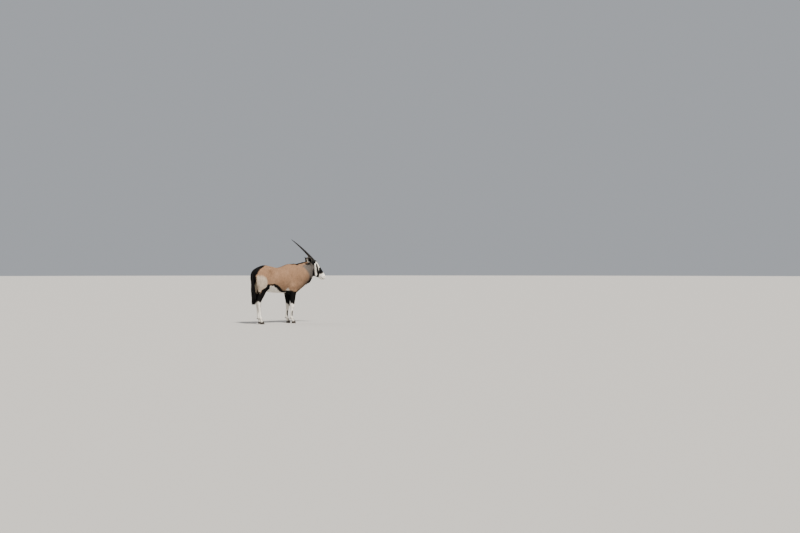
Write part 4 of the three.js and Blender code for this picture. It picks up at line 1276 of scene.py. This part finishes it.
def locks(name, region, roots, leaving, falling, lengths, widths, colours, slot, segments):
    count = len(roots)
    leave = unit(leaving)
    fall = unit(falling)
    start = roots - leave * LOCK_ROOT_DEPTH
    knee = roots + leave * (lengths * 0.40)[:, None]
    end = knee + fall * (lengths * 0.64)[:, None]
    rows = []
    steps = np.linspace(0, 1, segments + 1)
    for t in steps[:-1]:
        middle = start * (1 - t) ** 2 + knee * 2 * t * (1 - t) + end * t * t
        ahead = unit((knee - start) * (1 - t) + (end - knee) * t)
        across = unit(np.cross(ahead, leave + fall * 0.31 + UP * 0.01))
        over = np.cross(across, ahead)
        half = (widths / 2 * (math.sin(math.pi * (0.30 + 0.66 * t)) ** 0.7))[:, None]
        rows += [middle - across * half, middle + across * half, middle + over * half * LOCK_THICKNESS]
    rows.append(end)
    points = np.stack(rows, 1)
    per = points.shape[1]
    faces = repeated(lock_faces(segments), count, per)
    thing = mesh_object(name, points.reshape(-1, 3), faces)
    smooth(thing)
    set_colours(thing, np.repeat(colours, per, axis=0).clip(0, 1))
    local = [[x, t - 0.5] for t in steps[:-1] for x in (-0.4, 0.4, 0.0)] + [[0.0, 0.5]]
    bake_map(thing, roots, region, local, faces)
    dress(thing, HAIR, slot)
    print(name, count, "locks", len(faces), "triangles")
    return thing


# %% [markdown]
# ## Mane and throat
# The mane is short and stands along the crest, leaning back to the withers. A fringe of softer hair
# hangs along the black line of the throat. Both are sown on the skin where the neck's own frame
# says that the crest or the underside is.

# %% Mane and throat fringe
_, aside_neck, rise_neck = neck_frame(triangle_centres)
crest_part = (np.abs(aside_neck) < 0.020) & (rise_neck > 0.02) & (forward > 0.36) & ~head_part
roots, normals, draw = sow(crest_part, 0.0042, 201)
lie = lie_of_hair(roots, normals)
across = np.cross(normals, lie)
leaving = normals + lie * draw.uniform(0.5, 1.0, (len(roots), 1))
leaving = leaving + across * draw.normal(0, 0.12, (len(roots), 1))
falling = lie + normals * draw.uniform(0.05, 0.35, (len(roots), 1))
front = ramp(body_places(roots)[0], 0.38, 0.52)
lengths = draw.uniform(0.024, 0.044, len(roots)) * (0.45 + 0.55 * front)
tones = (BROWN_BLACK * 0.7)[None, :] * draw.uniform(0.5, 1.7, (len(roots), 1))
widths = draw.uniform(0.004, 0.008, len(roots))
locks("mane", "neck", roots, leaving, falling, lengths, widths, tones, "fawn_coat", 4)

throat_part = (np.abs(aside_neck) < 0.022) & (rise_neck < 0) & (forward > 0.60) & ~head_part & (height > 0.80)
roots, normals, draw = sow(throat_part, 0.0058, 202)
lie = lie_of_hair(roots, normals)
leaving = normals + lie * draw.uniform(0.9, 1.6, (len(roots), 1)) - UP * 0.4
falling = lie - UP * draw.uniform(0.2, 0.7, (len(roots), 1)) + normals * 0.03
lengths = draw.uniform(0.018, 0.040, len(roots))
tones = BLACK[None, :] * draw.uniform(0.8, 2.2, (len(roots), 1))
widths = draw.uniform(0.004, 0.008, len(roots))
locks("throat_fringe", "neck", roots, leaving, falling, lengths, widths, tones, "fawn_coat", 4)

# %% [markdown]
# ## The tail
# The tail's bones end half way down, and long black hair hangs on from there to the hocks. A
# tapered tube makes the dock, with its upper end sunk into the rump. It follows a smooth line that
# drops from the rump and hangs a little to the right. The helpers that loft rings of points into
# closed pieces come first, since horns, ears and hooves use them as well.

# %% Lines, tubes and closed pieces
DOCK_LINE = np.array([at(-0.438, 0, 1.050), at(-0.482, -0.002, 1.032), at(-0.502, -0.006, 0.960),
                      at(-0.506, -0.012, 0.870), at(-0.498, -0.016, 0.760), at(-0.492, -0.018, 0.640)])


def along_line(line, shares):
    """Places and ways along a smooth curve through the given points."""
    knots = np.linspace(0, 1, len(line))
    fine = np.linspace(0, 1, 400)
    smooth_line = np.stack([np.interp(fine, knots, line[:, axis]) for axis in range(3)], 1)
    kernel = np.hanning(61) / np.hanning(61).sum()
    padded = np.pad(smooth_line, ((30, 30), (0, 0)), mode="edge")
    smooth_line = np.stack([np.convolve(padded[:, axis], kernel, "valid") for axis in range(3)], 1)
    ways = unit(np.gradient(smooth_line, axis=0))
    places = np.stack([np.interp(shares, fine, smooth_line[:, axis]) for axis in range(3)], 1)
    return places, unit(np.stack([np.interp(shares, fine, ways[:, axis]) for axis in range(3)], 1))


def turned_outward(thing, end_rings=()):
    """Close the open ends of a piece with a face each, and turn all its faces outward."""
    work = bmesh.new()
    work.from_mesh(thing.data)
    work.verts.ensure_lookup_table()
    for ring in end_rings:
        work.faces.new([work.verts[i] for i in ring])
    bmesh.ops.recalc_face_normals(work, faces=work.faces)
    if work.calc_volume(signed=True) < 0:
        bmesh.ops.reverse_faces(work, faces=work.faces)
    work.to_mesh(thing.data)
    work.free()
    smooth(thing)
    return thing


def lofted(name, points, rows, sides):
    """A closed piece over rows of points, each row a ring of so many sides."""
    index = np.arange(rows * sides).reshape(rows, sides)
    turned = np.roll(index, -1, axis=1)
    walls = np.stack([index[:-1], turned[:-1], turned[1:], index[1:]], -1).reshape(-1, 4)
    return turned_outward(mesh_object(name, points, walls), (index[0], index[-1]))


def ring_turns(sides):
    return TURN * np.arange(sides) / sides


def tube(name, middles, ways, radii, reference, sides):
    """A tube along a line, with a radius for each of its rings or for each point of them."""
    across = unit(np.cross(ways, reference))[:, None]
    over = np.cross(across, ways[:, None])
    turns = ring_turns(sides)[None, :, None]
    ring = across * np.cos(turns) + over * np.sin(turns)
    points = (middles[:, None] + ring * radii[..., None]).reshape(-1, 3)
    return lofted(name, points, len(middles), sides)


print("turns of a square ring", ring_turns(4))

# %% [markdown]
# The dock is such a tube along a smooth line. Its radius follows a short table of radii.

# %% Tail dock
DOCK_RADII = [0.021, 0.021, 0.019, 0.017, 0.013, 0.007]
DOCK_SIDES = 24


def dock_radius(shares):
    return np.interp(shares, np.linspace(0, 1, len(DOCK_RADII)), DOCK_RADII)


shares = np.linspace(0, 1, 60)
middles, ways = along_line(DOCK_LINE, shares)
dock = tube("tail_dock", middles, ways, dock_radius(shares)[:, None], AHEAD, DOCK_SIDES)
set_colours(dock, np.broadcast_to(BLACK * 1.4, (len(dock.data.vertices), 3)))
dress(dock, HIDE, "black_hair")
print("dock", len(dock.data.polygons), "faces")

# %% [markdown]
# The tail's hair is sown all round the dock, thicker toward its end. Each lock leaves it slanting
# down, then hangs, and its length is cut where it would pass the tail's ragged lower end.

# %% Tail hair
TAIL_END = 0.390
LOCK_COUNT = 2600
draw = np.random.default_rng(203)
shares = np.sort(0.10 + 0.90 * draw.random(LOCK_COUNT) ** 0.8)
middles, ways = along_line(DOCK_LINE, shares)
turns = draw.uniform(0, TURN, LOCK_COUNT)
across = unit(np.cross(ways, AHEAD))
over = np.cross(across, ways)
outward = across * np.cos(turns)[:, None] + over * np.sin(turns)[:, None]
roots = middles + outward * dock_radius(shares)[:, None]
room = roots[:, 2] - TAIL_END - 0.11 * draw.random(LOCK_COUNT) ** 1.3
lengths = np.minimum(0.055 + 0.42 * shares ** 1.3 * draw.uniform(0.7, 1.1, LOCK_COUNT), room / 0.99)
bulk = ramp(shares, 0.05, 0.55)[:, None]
leaving = outward * (0.20 + 0.22 * bulk) + ways * 1.8
falling = -UP + outward * draw.uniform(-0.06, 0.01, (LOCK_COUNT, 1)) * bulk
falling = falling + LEFTWARD * draw.normal(0, 0.025, (LOCK_COUNT, 1))
tones = BLACK[None, :] * draw.uniform(0.6, 2.0, (LOCK_COUNT, 1))
widths = draw.uniform(0.005, 0.010, LOCK_COUNT)
tail_hair = locks("tail_hair", "tail", roots, leaving, falling, lengths, widths, tones, "black_hair", 7)
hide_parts("tail")

# %% [markdown]
# ## Horns
# The horns are nearly straight and taper evenly. Their lower half is ringed: some twenty ridges that
# stand closest at the root and fade where the smooth, sharp tip begins. The ridges show against the
# light, so they are real shape. Only the fine streaks of the horn are left to the material.

# %% Horn sizes and material
HORN_BASE_RADIUS = 0.0295
HORN_TIP_RADIUS = 0.0012
HORN_TIP_ALLOWANCE = 0.0004
RIDGE_HEIGHT = 0.0015
HORN_POINTS = [(0.046, 0.036, 0.076), (-0.160, 0.063, 0.079), (-0.400, 0.112, 0.058), (-0.624, 0.165, 0.008)]
HORN_TAPER = 0.66
RIDGES = 21
RINGED_SHARE = 0.60


def streaked_material(name, dark, pale, roughness, streak_scale, streak_bump):
    material, shader = new_material(name, roughness)
    shader.inputs["Specular IOR Level"].default_value = 0.30
    links = material.node_tree.links
    place = add_node(material, "ShaderNodeTexCoord")
    squeeze = add_node(material, "ShaderNodeMapping", Scale=streak_scale)
    links.new(place.outputs["UV"], squeeze.inputs["Vector"])
    streaks = add_node(material, "ShaderNodeTexNoise", Scale=1, Detail=6)
    links.new(squeeze.outputs["Vector"], streaks.inputs["Vector"])
    tones = add_node(material, "ShaderNodeValToRGB")
    for element, position, colour in zip(tones.color_ramp.elements, (0.35, 0.72), (dark, pale)):
        element.position = position
        element.color = (*colour, 1)
    links.new(streaks.outputs["Fac"], tones.inputs["Fac"])
    links.new(tones.outputs["Color"], shader.inputs["Base Color"])
    duller, shinier = roughness + 0.16, roughness - 0.10
    shine = add_node(material, "ShaderNodeMapRange", To_Min=shinier, To_Max=duller)
    links.new(streaks.outputs["Fac"], shine.inputs["Value"])
    links.new(shine.outputs["Result"], shader.inputs["Roughness"])
    bump = add_node(material, "ShaderNodeBump", Strength=streak_bump, Distance=0.0012)
    links.new(streaks.outputs["Fac"], bump.inputs["Height"])
    links.new(bump.outputs["Normal"], shader.inputs["Normal"])
    return material


HORN_DARK = (0.004, 0.003, 0.003)
HORN_PALE = (0.015, 0.011, 0.008)
HORN = streaked_material("ringed horn", HORN_DARK, HORN_PALE, 0.60, (34, 5, 1), 0.55)
print("material", HORN.name)

# %% [markdown]
# The streaks of horn need a map that follows its growth. The horn's own curve is a smooth bend
# through four places of the head, the same as in the solids, and the ridges ride on its radius: a
# wave along the length, a little uneven round it.

# %% Horns
def length_map(thing, rows, sides):
    """A map for the streaks: once round across, and along the length upward."""
    uv = thing.data.uv_layers.new(name="growth")
    corner = np.empty(len(thing.data.loops), dtype=np.int32)
    thing.data.loops.foreach_get("vertex_index", corner)
    row, side = np.divmod(corner, sides)
    round_share = np.abs(2 * side / sides - 1)
    uv.data.foreach_set("uv", np.stack([round_share, row / rows], 1).astype(np.float32).ravel())


def bezier(points, shares):
    a, b, c, d = (np.array(point) for point in points)
    t = shares[:, None]
    places = a * (1 - t) ** 3 + 3 * b * t * (1 - t) ** 2 + 3 * c * t * t * (1 - t) + d * t ** 3
    ways = 3 * (b - a) * (1 - t) ** 2 + 6 * (c - b) * t * (1 - t) + 3 * (d - c) * t * t
    return places, unit(ways)


HORN_ROWS = 420
HORN_SIDES = 28
shares = np.linspace(0.0, 1.0, HORN_ROWS)
taper = (HORN_BASE_RADIUS - HORN_TIP_ALLOWANCE) * (1 - shares) ** HORN_TAPER + HORN_TIP_RADIUS
ringed = np.clip(1 - shares / RINGED_SHARE, 0, 1) ** 0.6
phase = RIDGES * TURN * (shares / RINGED_SHARE) ** 0.92
turns = ring_turns(HORN_SIDES)
for side, sign in SIDES.items():
    ends = [on_head(along, sign * left, brow) for along, left, brow in HORN_POINTS]
    middles, ways = bezier(ends, shares)
    waviness = 0.7 * np.sin(turns[None, :] + 9 * shares[:, None] * sign)
    waviness = waviness + 0.35 * np.sin(turns[None, :] * 3 + phase[:, None] * 0.37)
    ridge = np.maximum(np.sin(phase[:, None] + waviness), -0.35)
    radii = taper[:, None] + ridge * ringed[:, None] * RIDGE_HEIGHT
    horn = tube("horn_" + side + "_ringed", middles, ways, radii, BROWWARD, HORN_SIDES)
    length_map(horn, HORN_ROWS, HORN_SIDES)
    dress(horn, HORN, "horn", "horn_" + side)
print("horn", len(horn.data.polygons), "faces each")

# %% [markdown]
# ## Eyes
# An antelope's eye is a dark brown ball with a level, oblong pupil, and it is always wet. The ball
# is coloured by how far each place lies from the pupil's line, and a smooth low roughness with a
# clear coat gives the wet highlight.

# %% Eyes
EYE_BROWN = np.array([0.014, 0.007, 0.004])
EYE_RIM = np.array([0.006, 0.004, 0.004])
PUPIL = np.full(3, 0.002)
CORNEA_BULGE = 0.045
eye_material, eye_shader = new_material("wet dark eye", 0.10)
eye_colour = add_node(eye_material, "ShaderNodeAttribute")
eye_colour.attribute_name = "marking"
eye_material.node_tree.links.new(eye_colour.outputs["Color"], eye_shader.inputs["Base Color"])
eye_shader.inputs["Specular IOR Level"].default_value = 0.30
eye_shader.inputs["Coat Weight"].default_value = 0.25
eye_shader.inputs["Coat Roughness"].default_value = 0.03

for side, sign in SIDES.items():
    ball = bmesh.new()
    bmesh.ops.create_uvsphere(ball, u_segments=64, v_segments=40, radius=EYE_RADIUS)
    data = bpy.data.meshes.new("eyeball_" + side)
    ball.to_mesh(data)
    ball.free()
    eyeball = bpy.data.objects.new("eyeball_" + side, data)
    bpy.context.scene.collection.objects.link(eyeball)
    outward = eye_ways(sign)[0]
    local = places_of(data)
    bulge = 1 + CORNEA_BULGE * np.clip((local @ outward / EYE_RADIUS - 0.80) / 0.2, 0, 1) ** 2
    set_points(data, eyes[side] + local * bulge[:, None])
    level_way = unit(np.cross(outward, UP))
    upward = np.cross(level_way, outward)
    x, y = local @ level_way, local @ upward
    iris = np.hypot(x, y)
    pupil = np.hypot(x / 1.9, y)
    colours = np.broadcast_to(EYE_RIM, local.shape)
    colours = paint(colours, EYE_BROWN, ramp(-iris, -0.0150, -0.0125))
    colours = paint(colours, PUPIL, ramp(-pupil, -0.0042, -0.0034))
    set_colours(eyeball, colours)
    smooth(eyeball)
    dress(eyeball, eye_material, "eye", "eye_" + side)
    print(eyeball.name, "looks", outward)

# %% [markdown]
# ## Ears
# An ear is a long leaf rolled into a tube at its root and open toward its tip. The shell is made
# from the same leaf as the solids: rows along the ear, each an arc that opens out and narrows to
# the tip, with an outer and an inner face that meet on the rim.

# %% The ear's leaf
EAR_LENGTH = 0.176
EAR_START = 0.022
EAR_TIPS = {"right": (-0.757, -0.651, 0.083), "left": (-0.930, 0.310, -0.270)}
EAR_OPENINGS = {"right": (0.30, -0.80, -0.40), "left": (0.25, 0.85, -0.35)}
EAR_SKIN = 0.0048


def ear_frame(side):
    root = on_head(-0.002, SIDES[side] * 0.060, 0.020)
    along = unit(head_way(*EAR_TIPS[side]))
    opening = head_way(*EAR_OPENINGS[side])
    opening = unit(opening - along * (opening @ along))
    return root, along, opening, np.cross(along, opening)


def ear_axis(side, share):
    root, along = ear_frame(side)[:2]
    return root + along * (EAR_START + share * EAR_LENGTH * 0.9)[:, None]


def ear_leaf(side, share, column, inset):
    """Places on the ear: share from root to tip, column from -1 to 1 across, inset 0 or 1."""
    _, _, opening, across = ear_frame(side)
    half_width = 0.019 + 0.033 * np.sin(math.pi * np.minimum(share * 0.98, 1)) ** 0.9
    tip = 1 - ramp(share, 0.62, 1.0) * 0.97
    spread = np.radians(140 + (62 - 140) * ramp(share, 0.0, 0.75))
    radius = half_width * tip / np.sin(np.minimum(spread, math.pi / 2))
    turn = spread * column
    edge = 1 - 0.75 * np.abs(column) ** 3
    thickness = EAR_SKIN * edge * (1 - 0.45 * share)
    reach = np.maximum(radius - inset * thickness, 0.0006) - 0.0008
    back = radius - 0.022
    arc = opening * (back - reach * np.cos(turn))[:, None] + across * (reach * np.sin(turn))[:, None]
    return ear_axis(side, share) + arc


print("ears point", {side: ear_frame(side)[1].round(2).tolist() for side in SIDES})

# %% [markdown]
# The back of an ear is grey and its rim pale, with black along one edge and over the outer third.
# The hollow inside is painted dark as shade. The same colours go on the shell and on the hair over it.

# %% Ear colours
def ear_colours(share, column, inset, points):
    colours = np.broadcast_to(WHITE * 0.50, points.shape)
    # The hollow inside the ear is painted dark as shade, deepest toward the root.
    hollow_shade = inset * ramp(-np.abs(column), -0.74, -0.40) * ramp(-share, -0.86, -0.50)
    colours = paint(colours, BROWN_BLACK, hollow_shade)
    back_grey = (1 - inset) * ramp(-np.abs(column), -0.92, -0.60)
    colours = paint(colours, GREY_FAWN * 0.55, back_grey)
    edge = ragged(points, 0.012, 31) * 0.05
    dark_edge = ramp(column + edge, 0.70, 0.86) * ramp(share, 0.20, 0.40)
    colours = paint(colours, BLACK, dark_edge)
    return paint(colours, BLACK, ramp(share + edge, 0.62, 0.74))


print("pale part of the ear", WHITE * 0.50)

# %% [markdown]
# The shell is a grid of rows and columns laid out twice, outside and inside, and joined along its
# four edges. Short hair covers its back, and longer pale hair stands inside near the rim.

# %% Ear shells and hair
EAR_ROWS = 44
EAR_COLUMNS = 24
EAR_HAIRS = 3600
EAR_HAIR_WIDTH = 0.0020
EAR_SEEDS = {"right": 301, "left": 302}
RIM_HAIR_FROM = 0.55
RIM_WHITE = WHITE * 0.62


def ear_shell(side):
    rows, columns = np.linspace(0, 1, EAR_ROWS), np.linspace(-1, 1, EAR_COLUMNS)
    share, column = (grid.ravel() for grid in np.meshgrid(rows, columns, indexing="ij"))
    faces = [ear_leaf(side, share, column, inset) for inset in (0, 1)]
    index = np.arange(EAR_ROWS * EAR_COLUMNS).reshape(EAR_ROWS, EAR_COLUMNS)
    outside = np.stack([index[:-1, :-1], index[1:, :-1], index[1:, 1:], index[:-1, 1:]], -1).reshape(-1, 4)
    quads = [outside, outside[:, ::-1] + index.size]
    for line in (index[:, 0], index[:, -1], index[0, :], index[-1, :]):
        inner_line = line + index.size
        quads.append(np.stack([line[:-1], inner_line[:-1], inner_line[1:], line[1:]], -1))
    shell = turned_outward(mesh_object("ear_shell_" + side, np.vstack(faces), np.vstack(quads)))
    set_colours(shell, np.vstack([ear_colours(share, column, i, points) for i, points in enumerate(faces)]))
    dress(shell, HIDE, "ear_coat", "ear_" + side)


def ear_hair(side):
    draw = np.random.default_rng(EAR_SEEDS[side])
    count = EAR_HAIRS
    share, column = draw.uniform(0.0, 0.97, count), draw.uniform(-1, 1, count)
    near_rim = np.abs(column) > RIM_HAIR_FROM
    inset = (draw.random(count) < 0.30).astype(float)
    places = ear_leaf(side, share, column, inset)
    ahead = unit(ear_leaf(side, np.minimum(share + 0.02, 1), column, inset) - places)
    sideways = unit(ear_leaf(side, share, np.minimum(column + 0.02, 1.02), inset) - places)
    outward = unit(np.cross(sideways, ahead)) * np.where(inset > 0, -1, 1)[:, None]
    facing = np.sign(dot(outward, places - ear_axis(side, share)))
    outward = outward * np.where(inset > 0, -facing, facing)[:, None]
    leaving = outward * 0.5 + ahead
    falling = ahead + outward * 0.15
    colours = ear_colours(share, column, inset, places) * draw.uniform(0.75, 1.2, (count, 1))
    colours = paint(colours, RIM_WHITE, inset * near_rim * 0.8)
    lengths = np.where(inset > 0, 0.012 + 0.010 * near_rim, 0.007) * draw.uniform(0.7, 1.2, count)
    widths = np.full(count, EAR_HAIR_WIDTH)
    locks("ear_hair_" + side, "head", places, leaving, falling, lengths, widths, colours, "ear_coat", 2)


for side in SIDES:
    ear_shell(side)
    ear_hair(side)

# %% [markdown]
# ## Hooves and dewclaws
# Each foot has two claws with flat soles, narrow at the toe and deeper behind. The claw is lofted
# from the coronet, where the hair ends, down to the sole, and its wall carries fine growth rings.
# Higher up, behind the fetlock, sit two small dewclaws.

# %% The claw from above
HOOF_DARK = (0.016, 0.013, 0.012)
HOOF_PALE = (0.060, 0.047, 0.038)
HOOF = streaked_material("hoof horn", HOOF_DARK, HOOF_PALE, 0.50, (4, 46, 1), 0.5)
CLAW_SIDES = 36
CLAW_WIDTH = 0.0305


def claw_outline(front, rear):
    """The claw from above, from its flat inner wall round the toe and back along the outer wall."""
    turn = ring_turns(CLAW_SIDES)
    ahead = np.cos(turn)
    aside = np.sin(turn)
    forward = np.where(ahead > 0, front * np.abs(ahead) ** 0.85, rear * ahead)
    stations = [-rear, -rear * 0.5, front * 0.2, front * 0.75, front]
    bend = np.interp(forward, stations, [0.72, 1.0, 1.0, 0.66, 0.22])
    spread = np.clip(aside, -0.35, 1)
    return forward, CLAW_WIDTH * (0.26 + 0.74 * spread) * bend


print("material", HOOF.name)

# %% [markdown]
# Both claws of a foot share one outline, and the flat walls face each other over a narrow cleft. The
# rings shrink a little from the sole to the sloping coronet. A dewclaw is a small egg that points
# down and back.

# %% Hooves and dewclaws
TOE_LENGTH = 0.062
CLAW_HEEL = 0.044
CLAW_ROWS = 14
CLAW_CLEFT = 0.0025
CORONET_HEIGHT = 0.048
CORONET_SLOPE = 0.42
CORONET_FRONT = 0.033
CORONET_REAR = 0.038
DEWCLAW_SIZES = (0.014, 0.009, 0.008)
DEWCLAW_HEIGHT = 0.108
DEWCLAW_ASIDE = 0.015
DEWCLAW_BEHIND = 0.024


def hoof_claw(leg, end):
    node = leg.replace("leg", "hoof") + "_" + end
    middle_y = corners(node)[0][1] + TOE_LENGTH * 0.905
    sign = side_of(leg)
    facing = sign if end == "outer" else -sign
    rows = []
    for share in np.linspace(0, 1, CLAW_ROWS):
        swell = 1 + 0.03 * math.sin(math.pi * min(share * 1.6, 1))
        front = TOE_LENGTH * 0.89 * (1 - share) + CORONET_FRONT * share
        rear = CLAW_HEEL * (1 - share) + CORONET_REAR * share
        forward, aside = claw_outline(front * swell, rear)
        height = share * (CORONET_HEIGHT + CORONET_SLOPE * forward)
        sideways = MIDLINE + sign * LEG_SPREAD + facing * (CLAW_CLEFT + np.maximum(aside, 0.0))
        rows.append(np.stack([sideways, middle_y - forward, height], 1))
    claw = lofted(node + "_claw", np.vstack(rows), CLAW_ROWS, CLAW_SIDES)
    length_map(claw, CLAW_ROWS, CLAW_SIDES)
    dress(claw, HOOF, "hoof", node)


def dewclaw(leg, side, sign):
    fetlock = limb_middle(leg, 0.140)
    centre = np.array([fetlock[0] + sign * DEWCLAW_ASIDE, fetlock[1] + DEWCLAW_BEHIND, DEWCLAW_HEIGHT])
    downward = unit(np.array([sign * 0.3, 0.55, -0.8]))
    outward = unit(np.cross(downward, [0.0, 0.8, 0.55]))
    axes = [downward, outward, np.cross(downward, outward)]
    thing = mesh_object(f"dewclaw_{leg[4:]}_{side}", *ellipsoid(centre, axes, DEWCLAW_SIZES))
    smooth(thing)
    dress(thing, HOOF, "hoof")


for leg in LEGS:
    for end in ("outer", "inner"):
        hoof_claw(leg, end)
    for side, sign in SIDES.items():
        dewclaw(leg, side, sign)
    print("two claws and two dewclaws on", leg)

# %% [markdown]
# ## Lashes
# Long dark lashes shade the upper lid. They are the thinnest locks of all, rooted along the rim of
# the almond.

# %% Lashes
LASH_COUNT = 70
LASH_WIDTH = 0.0011

for side, sign in SIDES.items():
    outward, lengthwise, across = eye_ways(sign)
    draw = np.random.default_rng(401)
    x = np.linspace(-0.85, 0.9, LASH_COUNT)
    y = np.sqrt(1 - x * x) * (1.12 - 0.55 * x * x) * 1.05
    flat = lengthwise * (x * ALMOND["length"])[:, None] + across * (y * ALMOND["height"])[:, None]
    depth = np.sqrt(np.maximum((EYE_RADIUS + LID) ** 2 - np.sum(flat * flat, axis=1), 0))
    roots = eyes[side] + flat + outward * depth[:, None]
    leaving = outward * 0.8 + across * 0.45 + lengthwise * (x * 0.25)[:, None]
    falling = across * 0.2 + outward * 0.55 + lengthwise * (x * 0.5)[:, None] - UP * 0.10
    lengths = draw.uniform(0.008, 0.013, LASH_COUNT)
    widths = np.full(LASH_COUNT, LASH_WIDTH)
    tones = np.broadcast_to(BLACK, (LASH_COUNT, 3))
    locks("lashes_" + side, "head", roots, leaving, falling, lengths, widths, tones, "face_coat", 3)
